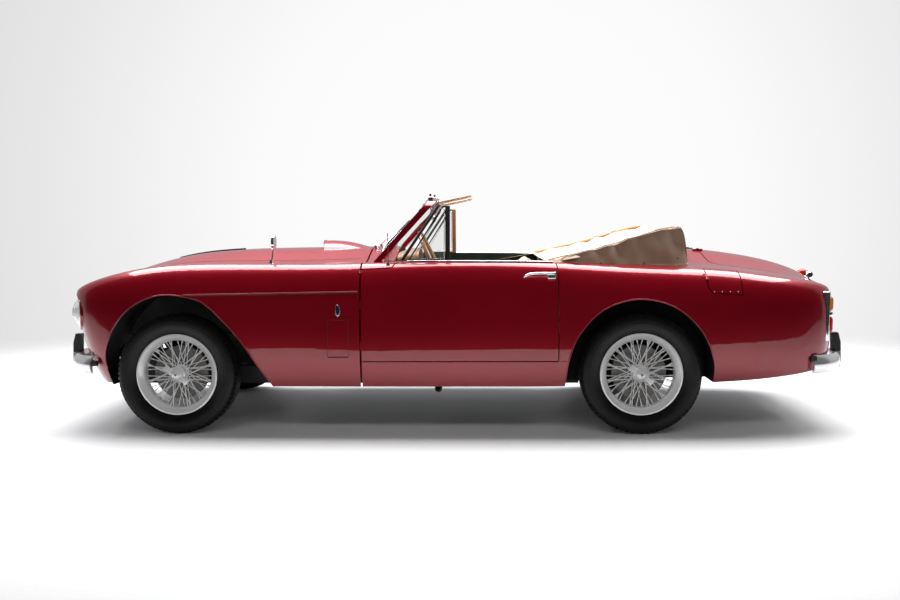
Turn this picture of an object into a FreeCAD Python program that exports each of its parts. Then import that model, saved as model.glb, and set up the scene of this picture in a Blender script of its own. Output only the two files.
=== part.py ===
import FreeCAD, Part
import Sketcher
import math
import os

# An open two-door sports tourer of the middle 1950s, seen with its hood folded under a cover.
# The nose points to -X, the left side is -Y and +Z is up. The origin lies on the ground
# below the middle of the bumper-to-bumper length. All lengths are millimetres.

Vector = FreeCAD.Vector
doc = FreeCAD.newDocument("Tourer")
sheet = doc.addObject("Spreadsheet::Sheet", "Sizes")

SIZES = {
    # Overall and running gear
    "overall_length": 4368.0,
    "front_overhang": 691.0,
    "wheelbase": 2515.0,
    "front_track": 1372.0,
    "rear_track": 1372.0,
    "tyre_radius": 328.0,
    "tyre_width": 165.0,
    "rim_radius": 221.0,
    "rim_width": 128.0,
    "rim_wall": 5.0,
    "hub_radius": 46.0,
    "spoke_radius": 2.6,
    "spinner_span": 150.0,
    "stub_radius": 16.0,
    "drum_radius": 148.0,
    "drum_depth": 38.0,
    "kingpin_radius": 16.0,
    "kingpin_inset": 90.0,
    "axle_tube_radius": 38.0,
    # Body
    "body_width": 1651.0,
    "sill_height": 268.0,
    "bonnet_height": 1000.0,
    "crest_height": 936.0,
    "deck_height": 984.0,
    "clip_wall": 16.0,
    "cabin_wall": 62.0,
    "tail_wall": 20.0,
    "shut_gap": 10.0,
    "lid_gap": 6.0,
    "running_clearance": 0.3,
    # Places along the car, from the front axle
    "clip_rear_edge": 1009.0,
    "door_length": 1045.0,
    "door_bottom": 411.0,
    "waist_half_width": 690.0,
    "firewall": 930.0,
    "scuttle_half_width": 758.0,
    "cowl_edge": 1175.0,
    "cockpit_rear": 2745.0,
    "lid_front": 2948.0,
    "lid_rear": 3590.0,
    "lid_half_width": 462.0,
    # Heights inside
    "floor_height": 335.0,
    "floor_thickness": 12.0,
    "boot_floor_height": 482.0,
    "rail_height": 100.0,
    "rail_width": 70.0,
    "rail_spread": 730.0,
    # Fittings
    "bumper_height": 100.0,
    "bumper_depth": 22.0,
    "bumper_level": 372.0,
    "headlamp_radius": 95.0,
    "headlamp_spread": 1180.0,
    "headlamp_level": 657.0,
    "steering_wheel_radius": 205.0,
    "steering_rim_radius": 12.0,
    "seat_width": 520.0,
    "seat_spread": 725.0,
    "windscreen_rake": 253.0,
    "windscreen_rise": 270.0,
    "windscreen_depth": 40.0,
    "exhaust_radius": 25.0,
}


def put_sizes():
    """Writes every driving dimension to the sheet and gives its cell that name."""
    row = 1
    for name, value in SIZES.items():
        sheet.set(f"A{row}", name)
        sheet.set(f"B{row}", str(value))
        sheet.setAlias(f"B{row}", name)
        row += 1
    doc.recompute()


put_sizes()


class Length:
    """A length that knows its value and the sheet expression that it comes from."""

    def __init__(self, text, value):
        self.text = text
        self.value = value

    def __add__(self, other):
        other = as_length(other)
        return Length(f"({self.text} + {other.text})", self.value + other.value)

    def __sub__(self, other):
        other = as_length(other)
        return Length(f"({self.text} - {other.text})", self.value - other.value)

    def __mul__(self, factor):
        return Length(f"({self.text} * {factor})", self.value * factor)

    def __truediv__(self, factor):
        return Length(f"({self.text} / {factor})", self.value / factor)

    def __neg__(self):
        return Length(f"(0 - {self.text})", -self.value)

    def __radd__(self, other):
        return as_length(other) + self

    def __rsub__(self, other):
        return as_length(other) - self

    def __float__(self):
        return self.value


def as_length(item):
    if isinstance(item, Length):
        return item
    return Length(f"({item})", float(item))


def size(name):
    """The length in the sheet's cell of that name."""
    return Length(f"Sizes.{name}", float(getattr(sheet, name)))


# Main places
X_NOSE = -size("overall_length") / 2
X_TAIL = size("overall_length") / 2
X_FRONT_AXLE = X_NOSE + size("front_overhang")
X_REAR_AXLE = X_FRONT_AXLE + size("wheelbase")
X_CLIP = X_FRONT_AXLE + size("clip_rear_edge")
X_DOOR = X_CLIP + size("shut_gap")
X_DOOR_END = X_DOOR + size("door_length")
X_FIREWALL = X_FRONT_AXLE + size("firewall")
X_COWL_EDGE = X_FRONT_AXLE + size("cowl_edge")
X_COCKPIT_REAR = X_FRONT_AXLE + size("cockpit_rear")
X_LID = X_FRONT_AXLE + size("lid_front")
X_LID_END = X_FRONT_AXLE + size("lid_rear")
AXLE_Z = size("tyre_radius")
FLOOR_Z = size("floor_height")
FLOOR_UNDER = FLOOR_Z - size("floor_thickness")
BOOT_Z = size("boot_floor_height")
BOOT_UNDER = BOOT_Z - size("floor_thickness")
RAIL_UNDER = FLOOR_UNDER - size("rail_height")
HALF_WIDTH = float(size("body_width") / 2)
LEFT = -1
RIGHT = 1

nodes = []


def node(item, name):
    """Marks an object as a sub-part, under the name of its file."""
    item.Label = name
    nodes.append(item)
    return item


def solids_of(shape):
    """The closed solids of a worked-out shape: one alone, or all in a compound."""
    if len(shape.Solids) == 1:
        return shape.Solids[0]
    return Part.makeCompound(shape.Solids)


def feature(name, shape, count=1, splines=False):
    """A sub-part whose surfaces are worked out here from the sheet's values."""
    shape = solids_of(shape)
    if len(shape.Solids) != count:
        raise RuntimeError(f"{name} has {len(shape.Solids)} solids, not {count}")
    if splines:
        shape = shape.toNurbs()
    item = doc.addObject("Part::Feature", name)
    item.Shape = shape
    item.Placement = FreeCAD.Placement()
    return node(item, name)


def put_at(item, corner, rotation=None):
    """Places an object, with each coordinate that is a Length bound to the sheet."""
    spot = Vector(*[float(value) for value in corner])
    item.Placement = FreeCAD.Placement(spot, rotation or FreeCAD.Rotation())
    for letter, value in zip("xyz", corner):
        if isinstance(value, Length):
            item.setExpression(f"Placement.Base.{letter}", value.text)
    return item


def bind(item, **lengths):
    for prop, value in lengths.items():
        value = as_length(value)
        setattr(item, prop, value.value)
        item.setExpression(prop, value.text)
    return item


def block(x, y, z):
    """A box between two places on each axis, given as (low, high) pairs."""
    item = doc.addObject("Part::Box", "Block")
    spans = [as_length(high) - low for low, high in (x, y, z)]
    bind(item, Length=spans[0], Width=spans[1], Height=spans[2])
    return put_at(item, (as_length(x[0]), as_length(y[0]), as_length(z[0])))


def rod(radius, start, end):
    """A round bar from one point to another."""
    start_point = Vector(*[float(value) for value in start])
    end_point = Vector(*[float(value) for value in end])
    along = end_point - start_point
    item = doc.addObject("Part::Cylinder", "Rod")
    bind(item, Radius=radius)
    item.Height = along.Length
    return put_at(item, start, FreeCAD.Rotation(Vector(0, 0, 1), along))


def joined(name, pieces):
    """One sub-part fused from several objects."""
    item = doc.addObject("Part::MultiFuse", name)
    item.Shapes = pieces
    item.Refine = True
    return node(item, name)


def joined_only(pieces):
    """Objects fused into one solid of a sub-part."""
    item = doc.addObject("Part::MultiFuse", "Joined")
    item.Shapes = pieces
    return item


def grouped(name, pieces):
    """One sub-part of several solids that don't touch."""
    item = doc.addObject("Part::Compound", name)
    item.Links = pieces
    return node(item, name)


def origin_plane(body, role):
    return next(item for item in body.Origin.OriginFeatures if item.Role == role)


def outline_sketch(body, role, corners):
    """A closed outline of straight edges, each corner pinned from the origin to the sheet."""
    sketch = body.newObject("Sketcher::SketchObject", "Outline")
    sketch.AttachmentSupport = (origin_plane(body, role), [""])
    sketch.MapMode = "FlatFace"
    spots = [(as_length(u), as_length(v)) for u, v in corners]
    count = len(spots)
    points = [Vector(u.value, v.value, 0) for u, v in spots]
    for i in range(count):
        sketch.addGeometry(Part.LineSegment(points[i], points[(i + 1) % count]), False)
    for i in range(count):
        sketch.addConstraint(Sketcher.Constraint("Coincident", i, 2, (i + 1) % count, 1))
    for i, (u, v) in enumerate(spots):
        for kind, length in (("DistanceX", u), ("DistanceY", v)):
            index = sketch.addConstraint(Sketcher.Constraint(kind, -1, 1, i, 1, length.value))
            sketch.setExpression(f"Constraints[{index}]", length.text)
    return sketch


def turned(name, corners):
    """A body turned about its own Y axis, from an outline of (radius, place along Y)."""
    body = doc.addObject("PartDesign::Body", name)
    sketch = outline_sketch(body, "XY_Plane", corners)
    turn = body.newObject("PartDesign::Revolution", "Turn")
    turn.Profile = (sketch, [""])
    turn.ReferenceAxis = (sketch, ["V_Axis"])
    turn.Angle = 360.0
    return body


def prism(points, axis, low, high, smooth=False):
    """A solid from a closed outline in the plane across an axis, between two places on it."""
    order = {"x": lambda u, v: (low, u, v), "y": lambda u, v: (u, low, v), "z": lambda u, v: (u, v, low)}
    corners = [Vector(*order[axis](float(u), float(v))) for u, v in points]
    if smooth == "closed":
        curve = Part.BSplineCurve()
        curve.interpolate(Points=corners, PeriodicFlag=True)
        wire = Part.Wire([curve.toShape()])
    elif smooth:
        curve = Part.BSplineCurve()
        curve.interpolate(corners)
        edges = [curve.toShape(), Part.makeLine(corners[-1], corners[0])]
        wire = Part.Wire(edges)
    else:
        wire = Part.makePolygon(corners + [corners[0]])
    along = {"x": Vector(1, 0, 0), "y": Vector(0, 1, 0), "z": Vector(0, 0, 1)}[axis]
    return Part.Face(wire).extrude(along * (high - low))


def slab(x, y, z):
    """A plain box shape between (low, high) pairs, for cutting."""
    low = Vector(float(x[0]), float(y[0]), float(z[0]))
    high = Vector(float(x[1]), float(y[1]), float(z[1]))
    return Part.makeBox(high.x - low.x, high.y - low.y, high.z - low.z, low)


def mirrored(shape):
    return shape.mirror(Vector(0, 0, 0), Vector(0, 1, 0))


# Body surface

WIDEST_Z = 615.0


def station(x, half, base_y, base_z, crest_y, crest_z, top_z, valley=0.0, lean=0.0):
    """Half of one cross-section of the body, as poles from the lower edge to the centre line.

    A lean tips the section, so that its top reaches further towards the nose than its foot.
    """
    low = WIDEST_Z - base_z
    high = crest_z - WIDEST_Z
    flank = half - base_y
    shoulder = half - crest_y
    rise = top_z - crest_z
    poles = [
        (base_y, base_z),
        (base_y + 0.50 * flank, base_z + 0.16 * low),
        (base_y + 0.86 * flank, base_z + 0.46 * low),
        (half, base_z + 0.82 * low),
        (half, WIDEST_Z + 0.30 * high),
        (half - 0.14 * shoulder, WIDEST_Z + 0.68 * high),
        (half - 0.42 * shoulder, crest_z - 0.03 * high),
        (crest_y, crest_z + 0.02 * high),
        (0.76 * crest_y, crest_z + 0.16 * rise - valley),
        (0.50 * crest_y, crest_z + 0.55 * rise - 0.5 * valley),
        (0.24 * crest_y, top_z - 0.04 * rise),
        (0.0, top_z),
    ]
    return [Vector(x - lean * (z - WIDEST_Z), y, z) for y, z in poles]


def body_stations():
    """The cross-sections from nose to tail. The ends are short steps, so nose and tail are domed."""
    front = float(X_FRONT_AXLE)
    rear = float(X_REAR_AXLE)
    w = HALF_WIDTH
    sill = float(size("sill_height"))
    crest = float(size("crest_height"))
    bonnet = float(size("bonnet_height"))
    deck = float(size("deck_height"))
    return [
        station(front - 640, 150, 90, 560, 90, 690, 700, 0, 0.20),
        station(front - 637, 300, 210, 480, 230, 722, 730, 0, 0.20),
        station(front - 625, 455, 340, 400, 380, 746, 748, 0, 0.20),
        station(front - 598, 580, 470, 336, 500, 770, 768, 6, 0.20),
        station(front - 556, 664, 560, 290, 566, 796, 794, 16, 0.18),
        station(front - 470, 728, 628, 258, 598, 836, 840, 26, 0.12),
        station(front - 340, 772, 688, 254, 612, 878, 896, 34, 0.05),
        station(front - 170, 798, 728, 260, 618, 912, 946, 38, 0.02),
        station(front, w - 17, 745, sill, 625, crest - 6, bonnet - 22, 40),
        station(front + 300, w - 9, 765, sill, 636, crest - 4, bonnet - 4, 42),
        station(front + 650, w - 3, 774, sill, 650, crest - 8, bonnet, 40),
        station(front + 1010, w, 778, sill, 670, crest - 8, bonnet + 4, 26),
        station(front + 1350, w, 780, sill, 690, crest + 4, bonnet + 2, 8),
        station(front + 1800, w, 780, sill, 692, crest + 2, bonnet),
        station(rear - 450, w, 780, sill, 680, crest - 8, bonnet - 8),
        station(rear - 120, w, 776, sill + 8, 662, crest - 26, bonnet - 12),
        station(rear + 180, w - 4, 768, sill + 14, 640, crest - 36, deck + 8),
        station(rear + 450, w - 16, 752, sill + 20, 622, crest - 46, deck - 2),
        station(rear + 650, w - 40, 738, sill + 34, 606, crest - 74, deck - 28),
        station(rear + 830, w - 82, 708, sill + 52, 588, crest - 100, deck - 62),
        station(rear + 940, w - 126, 672, sill + 70, 570, crest - 120, deck - 96),
        station(rear + 1015, w - 176, 618, sill + 84, 545, crest - 138, deck - 126),
        station(rear + 1058, w - 240, 530, sill + 104, 500, crest - 154, deck - 156),
        station(rear + 1084, w - 330, 440, sill + 132, 430, crest - 168, deck - 184),
        station(rear + 1098, w - 460, 320, sill + 172, 320, crest - 190, deck - 216),
        station(rear + 1105, w - 600, 180, sill + 232, 190, crest - 222, deck - 262),
        station(rear + 1106, w - 700, 90, sill + 282, 90, crest - 256, deck - 302),
    ]


def whole(half):
    """A full row of poles, left lower edge to right lower edge, from one half row on +Y."""
    left = [Vector(p.x, -p.y, p.z) for p in half]
    return left + list(reversed(half))[1:]


def clamped_knots(count, degree=3):
    """Knots and multiplicities of a clamped uniform spline with that many poles."""
    inner = count - degree - 1
    return list(range(inner + 2)), [degree + 1] + [1] * inner + [degree + 1]


def skin_solid(rows):
    """A closed solid inside a smooth skin over rows of poles, flat underneath and at both ends."""
    knots_v, mults_v = clamped_knots(len(rows))
    knots_u, mults_u = clamped_knots(len(rows[0]))
    skin = Part.BSplineSurface()
    skin.buildFromPolesMultsKnots(rows, mults_v, mults_u, knots_v, knots_u, False, False, 3, 3)
    top = skin.toShape()
    first_u, last_u, first_v, last_v = skin.bounds()
    left = skin.vIso(first_v).toShape()
    right = skin.vIso(last_v).toShape()
    nose = skin.uIso(first_u).toShape()
    tail = skin.uIso(last_u).toShape()
    under = Part.makeRuledSurface(left, right)
    caps = []
    for end in (nose, tail):
        chord = Part.makeLine(end.Vertexes[-1].Point, end.Vertexes[0].Point)
        caps.append(Part.Face(Part.Wire([end, chord])))
    shell = Part.makeShell([top, under] + caps)
    shell.sewShape()
    solid = Part.makeSolid(shell)
    if solid.Volume < 0:
        solid.reverse()
    return solid


NOSE_ROWS = 5
TAIL_ROWS = 6


def body_rows():
    return [whole(half) for half in body_stations()]


def inset_rows(wall, open_below=False):
    """The body's rows moved inwards by a wall, with their feet carried down where it is open below.

    The nose and the tail turn under, so there the feet move in with the wall instead.
    """
    rows = body_rows()
    last = len(rows) - 1
    made = []
    for i, row in enumerate(rows):
        ahead = rows[min(i + 1, last)]
        behind = rows[max(i - 1, 0)]
        moved = []
        for j, pole in enumerate(row):
            along = ahead[j] - behind[j]
            across = row[min(j + 1, len(row) - 1)] - row[max(j - 1, 0)]
            normal = along.cross(across).normalize()
            moved.append(pole - normal * wall)
        if i < NOSE_ROWS:
            shift = Vector(0.8, 0, 0.6) * wall
        elif i > last - TAIL_ROWS:
            shift = Vector(-0.8, 0, 0.6) * wall
        else:
            shift = Vector(0, 0, -60)
        if open_below:
            for j in (0, len(moved) - 1):
                moved[j] = moved[j] + shift
        if i in (0, last):
            x = sum(pole.x for pole in moved) / len(moved)
            moved = [Vector(x, pole.y, pole.z) for pole in moved]
        made.append(moved)
    return made


outer = skin_solid(body_rows())
clip_inner = skin_solid(inset_rows(float(size("clip_wall")), True))
cabin_inner = skin_solid(inset_rows(float(size("cabin_wall")), True))
tail_inner = skin_solid(inset_rows(float(size("tail_wall")), True))


# Wheel arches, as points from the axle along X and from the ground

FRONT_ARCH = [
    (-372, 190), (-389, 300), (-399, 413), (-340, 575), (-223, 702), (-64, 763),
    (140, 736), (262, 640), (369, 519), (450, 392), (522, 282), (575, 190),
]
REAR_ARCH = [
    (-436, 190), (-412, 270), (-391, 418), (-336, 555), (-210, 683), (-29, 736),
    (158, 695), (300, 573), (370, 415), (379, 300), (376, 190),
]
ARCH_WALL = 12.0
TUB_INNER_Y = 560.0


def arch_prism(points, axle_x, low, high, grow=0.0):
    """The wheel arch's outline as a solid across the car, grown all round by a distance."""
    points = [(float(axle_x) + x, z) for x, z in points]
    if not grow:
        return prism(points, "y", low, high, smooth=True)
    face = prism(points, "y", low, high, smooth=True).Faces
    flat = [item for item in face if abs(item.CenterOfMass.y - low) < 1e-6][0]
    return flat.makeOffset2D(grow).extrude(Vector(0, high - low, 0))


def wheel_tub(points, axle_x, skin, inner_y, walled):
    """The housing over one left wheel: a band round the arch, with an inner wall if it has one."""
    band = arch_prism(points, axle_x, -HALF_WIDTH - 20, -inner_y, ARCH_WALL).common(skin)
    keep = inner_y + (ARCH_WALL if walled else -1)
    return band.cut(arch_prism(points, axle_x, -HALF_WIDTH - 30, -keep))


# Front clip: bonnet, wings and nose in one panel, hinged at its foot behind the bumper

HINGE_X = X_FRONT_AXLE - 562
HINGE_Z = as_length(335)
HINGE_Y = 300.0


def headlamp_bore(radius):
    x = float(X_NOSE) - 10
    y = float(size("headlamp_spread")) / 2
    z = float(size("headlamp_level"))
    return Part.makeCylinder(radius, 190, Vector(x, -y, z), Vector(1, 0, 0))


def bumper_path(end_x, sign):
    """The bumper's plan line: straight across the car, then round the corner to its end."""
    x = sign * (float(X_TAIL) - 8 - float(size("bumper_depth")))
    level = float(size("bumper_level"))
    half = 430.0
    end = Vector(end_x, -690, level)
    start = Vector(x, -half, level)
    bend = Vector(x - sign * 62, -half - 168, level)
    arc = Part.Arc(start, bend, end).toShape()
    other = arc.mirror(Vector(0, 0, 0), Vector(0, 1, 0))
    line = Part.makeLine(start, Vector(x, half, level))
    return Part.Wire(Part.__sortEdges__([arc, line, other]))


def bumper_bar(end_x, sign, grow=0.0):
    """The blade: a bowed section carried along the plan line."""
    path = bumper_path(end_x, sign)
    x = sign * (float(X_TAIL) - 8 - float(size("bumper_depth")))
    level = float(size("bumper_level"))
    half = float(size("bumper_height")) / 2 + grow
    depth = float(size("bumper_depth"))
    back = x - sign * grow
    front = x + sign * (depth + grow)
    top = Vector(back, 0, level + half)
    foot = Vector(back, 0, level - half)
    bow = Part.Arc(top, Vector(front, 0, level), foot).toShape()
    section = Part.Wire([bow, Part.makeLine(foot, top)])
    sweep = Part.BRepOffsetAPI.MakePipeShell(path)
    sweep.setTransitionMode(0)
    sweep.setAuxiliarySpine(path.translated(Vector(0, 0, 100)), True, 0)
    start = path.Edges[0].valueAt(path.Edges[0].FirstParameter)
    sweep.add(section, True, False)
    sweep.build()
    sweep.makeSolid()
    return sweep.shape()


FRONT_BAR_END = float(X_FRONT_AXLE) - 485
REAR_BAR_END = float(X_REAR_AXLE) + 925

front_bar = bumper_bar(FRONT_BAR_END, -1)
rear_bar = bumper_bar(REAR_BAR_END, 1)
front_bar_room = bumper_bar(FRONT_BAR_END + 14, -1, 14)
rear_bar_room = bumper_bar(REAR_BAR_END - 14, 1, 14)

GRILLE_OUTLINE = [
    (-455, 455), (-425, 560), (-300, 618), (0, 640), (300, 618), (425, 560), (455, 455),
    (400, 418), (0, 408), (-400, 418),
]


def grille_prism(low, high, inset=0.0):
    """The mouth's outline, or one that lies inside it by an inset, carried along X."""
    wide = 1 - inset / 455
    tall = 1 - inset / 116
    points = [(y * wide, 524 + (z - 524) * tall) for y, z in GRILLE_OUTLINE]
    return prism(points, "x", low, high, smooth="closed")


def hinge_lug(y, radius):
    """One cheek of the clip's hinge, from the pin up to the valance."""
    x = float(HINGE_X)
    z = float(HINGE_Z)
    web = prism(
        [(x - 20, z), (x - 28, z + 90), (x + 14, z + 90), (x + 20, z)], "y", y - 5, y + 5
    )
    eye = Part.makeCylinder(20, 10, Vector(x, y - 5, z), Vector(0, 1, 0))
    bore = Part.makeCylinder(radius, 12, Vector(x, y - 6, z), Vector(0, 1, 0))
    return web.fuse(eye).cut(bore)


PIN_RADIUS = 9.0
CHEEK_SPREAD = 26.0


def make_clip():
    front = float(X_NOSE) - 20
    edge = float(X_CLIP)
    whole_front = outer.common(slab((front, edge), (-900, 900), (150, 1200)))
    panel = whole_front.cut(clip_inner)
    left = wheel_tub(FRONT_ARCH, X_FRONT_AXLE, whole_front, 520.0, False)
    panel = panel.fuse([left, mirrored(left)])
    for low, high in ((-900, -500), (500, 900)):
        panel = panel.cut(arch_prism(FRONT_ARCH, X_FRONT_AXLE, low, high))
    panel = panel.cut(slab((front, float(X_FRONT_AXLE) - 330), (-560, 560), (150, 352)))
    panel = panel.cut(grille_prism(front - 100, front + 220))
    bore = headlamp_bore(float(size("headlamp_radius")) + float(size("running_clearance")))
    panel = panel.cut([bore, mirrored(bore)])
    panel = panel.cut(front_bar_room)
    lugs = []
    for y in (-HINGE_Y, HINGE_Y):
        for offset in (-CHEEK_SPREAD, CHEEK_SPREAD):
            lugs.append(hinge_lug(y + offset, PIN_RADIUS + float(size("running_clearance"))))
    mouth = grille_prism(front - 100, front + 220)
    return panel.fuse([lug.cut(mouth) for lug in lugs])


feature("front_clip", make_clip(), splines=True)


# Body shell: scuttle, sills, floor, rear quarters, bulkheads and boot, in one shell

COWL_SHOULDER = 765.0


def door_side_prism(grow):
    """The door's outline seen from the side, grown into its aperture by the gap."""
    low = float(X_DOOR) - (0 if grow == 0 else 200)
    high = float(X_DOOR_END) + grow
    foot = float(size("door_bottom")) - grow
    return slab((low, high), (-900, 0), (foot, 1200))


def door_plan_prism(grow):
    """The door's outline seen from above: it stops at the cowl's shoulder and at the waist."""
    waist = float(size("waist_half_width")) - grow
    cowl = COWL_SHOULDER - grow
    start = float(X_DOOR) - (0 if grow == 0 else 200)
    end = float(X_DOOR_END) + grow
    cowl_end = float(X_DOOR) + 164 - grow
    points = [
        (start, -900), (end, -900), (end, -HALF_WIDTH + 35), (end - 15, -waist),
        (cowl_end + 45, -waist), (cowl_end, -cowl), (start, -cowl),
    ]
    return prism(points, "z", 200, 1200)


def door_shape():
    return outer.cut(cabin_inner).common(door_side_prism(0)).common(door_plan_prism(0))


def opening_plan():
    """The cockpit's opening seen from above, from the cowl to the hood well."""
    waist = float(size("waist_half_width")) - 4
    start = float(X_COWL_EDGE)
    post = float(X_DOOR_END) + float(size("lid_gap"))
    end = float(X_COCKPIT_REAR)
    half = [
        (start, 600), (start + 40, 655), (start + 90, waist), (post, waist), (post + 4, 648),
        (post + 260, 606), (end - 160, 562), (end - 60, 540), (end - 10, 480), (end, 400),
    ]
    return half + [(x, -y) for x, y in reversed(half)]


def lid_plan(grow):
    """The boot lid seen from above, with rounded front corners."""
    half = float(size("lid_half_width")) + grow
    start = float(X_LID) - grow
    end = float(X_LID_END) + grow
    radius = 70.0
    corner = [
        (start + radius - radius * math.cos(a), half - radius + radius * math.sin(a))
        for a in [math.radians(15 * k) for k in range(7)]
    ]
    side = [(start, 0)] + corner + [(end - 20, half), (end, half - 24)]
    return side + [(x, -y) for x, y in reversed(side)]


FLAP_MIDDLE = Vector(0, -737, 834)
FLAP_NORMAL = Vector(0, -0.70, 0.714)
FLAP_DOWN = Vector(0, -0.714, -0.70)


def flap_prism(grow):
    """The fuel flap's outline, square to the shoulder that it closes."""
    middle = Vector(float(X_REAR_AXLE) + 425, FLAP_MIDDLE.y, FLAP_MIDDLE.z)
    corners = [(-90, -78), (90, -78), (94, 84), (-58, 84), (-84, 58)]
    points = []
    for along, down in corners:
        along += math.copysign(grow, along)
        down += math.copysign(grow, down)
        points.append(middle + Vector(1, 0, 0) * along + FLAP_DOWN * down)
    face = Part.Face(Part.makePolygon(points + [points[0]]))
    return face.extrude(FLAP_NORMAL * 80).fuse(face.extrude(FLAP_NORMAL * -60))


TUNNEL_Z = float(FLOOR_Z) + 145


def make_shell():
    tail = float(X_TAIL) + 20
    door = float(X_DOOR)
    firewall = float(X_FIREWALL)
    step = float(X_REAR_AXLE) - 380
    well = float(X_COCKPIT_REAR)
    wall = float(size("tail_wall"))
    behind = outer.common(slab((door, tail), (-900, 900), (150, 1200)))
    inside = float(size("scuttle_half_width"))
    scuttle = outer.common(slab((firewall, door), (-inside, inside), (float(FLOOR_UNDER), 1200)))
    scuttle = scuttle.common(skin_solid(inset_rows(40.0)))
    shell = behind.fuse(scuttle)
    room = inside - 20
    low_cabin = slab((firewall + 15, door + 1), (-room, room), (float(FLOOR_Z), 1200))
    low_cabin = low_cabin.fuse(slab((door, step), (-900, 900), (float(FLOOR_Z), 1200)))
    high_cabin = slab((step - 1, well), (-900, 900), (float(BOOT_Z), 1200))
    shell = shell.cut(cabin_inner.common(low_cabin.fuse(high_cabin)))
    boot = slab((well + wall, tail), (-900, 900), (float(BOOT_Z), 1200))
    under = slab((step + 12, tail), (-900, 900), (100, float(BOOT_UNDER)))
    shell = shell.cut(tail_inner.common(boot.fuse(under)))
    shell = shell.cut(slab((firewall - 50, step + 13), (-700, 700), (100, float(FLOOR_UNDER))))
    tub = wheel_tub(REAR_ARCH, X_REAR_AXLE, behind, TUB_INNER_Y, True)
    tub = tub.common(slab((door, tail), (-900, 900), (float(size("sill_height")), 1200)))
    shell = shell.fuse([tub, mirrored(tub)])
    axle = float(X_REAR_AXLE)
    wall_out = TUB_INNER_Y + ARCH_WALL + 1
    shell = shell.cut(slab((axle - 50, axle + 50), (-wall_out, wall_out), (200, float(AXLE_Z) + 50)))
    shell = shell.cut(arch_prism(REAR_ARCH, X_REAR_AXLE, -900, -TUB_INNER_Y - ARCH_WALL))
    shell = shell.cut(arch_prism(REAR_ARCH, X_REAR_AXLE, TUB_INNER_Y + ARCH_WALL, 900))
    shell = shell.cut(prism(opening_plan(), "z", 860, 1200))
    gap = float(size("lid_gap"))
    aperture = door_side_prism(gap).common(door_plan_prism(gap))
    aperture = aperture.common(slab((door - 1, tail), (-900, 900), (0, 1300)))
    shell = shell.cut([aperture, mirrored(aperture)])
    shell = shell.cut(prism(lid_plan(gap), "z", 700, 1200))
    shell = shell.cut(flap_prism(gap - 1))
    shell = shell.cut(rear_bar_room)
    tunnel = slab((firewall + 3, step + 6), (-100, 100), (float(FLOOR_UNDER) + 1, TUNNEL_Z))
    slot = slab((firewall - 50, step + 30), (-85, 85), (200, TUNNEL_Z - 15))
    return shell.fuse(tunnel).cut(slot)


# Door hinges: two pins at the door's front edge, a knuckle above and a knuckle below on each

HINGE_PIN_X = float(X_CLIP) + 6.5
HINGE_PIN_Y = -HALF_WIDTH + 3
HINGE_LEVELS = (470.0, 690.0)
KNUCKLE = 24.0


def hinge_leaf(level, inner_y, x_low, x_high):
    """A knuckle on the door's axis with the leaf that carries it."""
    barrel = Part.makeCylinder(3.5, KNUCKLE, Vector(HINGE_PIN_X, HINGE_PIN_Y, level))
    leaf = slab((x_low, x_high), (HINGE_PIN_Y, inner_y), (level, level + KNUCKLE))
    return barrel.fuse(leaf)


def shell_hinges():
    x = HINGE_PIN_X
    inner_y = -float(size("scuttle_half_width")) + 8
    return [hinge_leaf(level, inner_y, x - 1, x + 1) for level in HINGE_LEVELS]


def door_hinges():
    x = HINGE_PIN_X
    lift = KNUCKLE + float(size("running_clearance"))
    return [hinge_leaf(level + lift, HINGE_PIN_Y + 30, x + 1, x + 8) for level in HINGE_LEVELS]


LID_AXIS_Z = float(size("deck_height")) - 2
LID_HINGE_Y = (-130.0, 130.0)
FUSE_TOLERANCE = 0.01
FLAP_AXIS = Vector(float(X_REAR_AXLE) + 425 - 92, FLAP_MIDDLE.y, FLAP_MIDDLE.z) + FLAP_NORMAL * 27


def lid_hinge(y, x_end, offset):
    """One knuckle of a lid hinge, with a foot that runs down into the skin."""
    x = float(X_LID) - 3
    barrel = Part.makeCylinder(5, 18, Vector(x, y + offset, LID_AXIS_Z), Vector(0, 1, 0))
    low, high = min(x, x_end), max(x, x_end)
    foot = slab((low, high), (y + offset, y + offset + 18), (LID_AXIS_Z - 22, LID_AXIS_Z))
    return barrel.fuse(foot)


def flap_hinge(start, reach):
    """One knuckle of the flap's hinge, with a leaf towards the side that it is fixed to."""
    end = FLAP_AXIS + FLAP_DOWN * start
    barrel = Part.makeCylinder(2.5, 20, end, FLAP_DOWN)
    corner = end - FLAP_NORMAL * 14 + Vector(math.copysign(2.2, reach), 0, 0)
    leaf = Part.Face(Part.makePolygon([
        corner, corner + FLAP_DOWN * 20, corner + FLAP_DOWN * 20 + FLAP_NORMAL * 14,
        corner + FLAP_NORMAL * 14, corner,
    ])).extrude(Vector(reach, 0, 0))
    return barrel.fuse(leaf)


hinges = shell_hinges() + [mirrored(item) for item in shell_hinges()]
hinges += [lid_hinge(y, float(X_LID) - 34, -18.3) for y in LID_HINGE_Y]
hinges.append(flap_hinge(-20.3, -12))
shell = make_shell().fuse(hinges, FUSE_TOLERANCE)
feature("body_shell", shell, splines=True)
left_door = door_shape().fuse(door_hinges())
feature("door_left", left_door)
feature("door_right", mirrored(left_door))
lid = outer.cut(tail_inner).common(prism(lid_plan(0), "z", 720, 1200))
feature("boot_lid", lid.fuse([lid_hinge(y, float(X_LID) + 28, 0) for y in LID_HINGE_Y]))
flap = outer.cut(tail_inner).common(flap_prism(0))
feature("fuel_flap", flap.fuse(flap_hinge(0, 10)))


# Chassis: two side rails, cross-members, hinge horns for the clip, and rear rails over the axle

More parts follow.
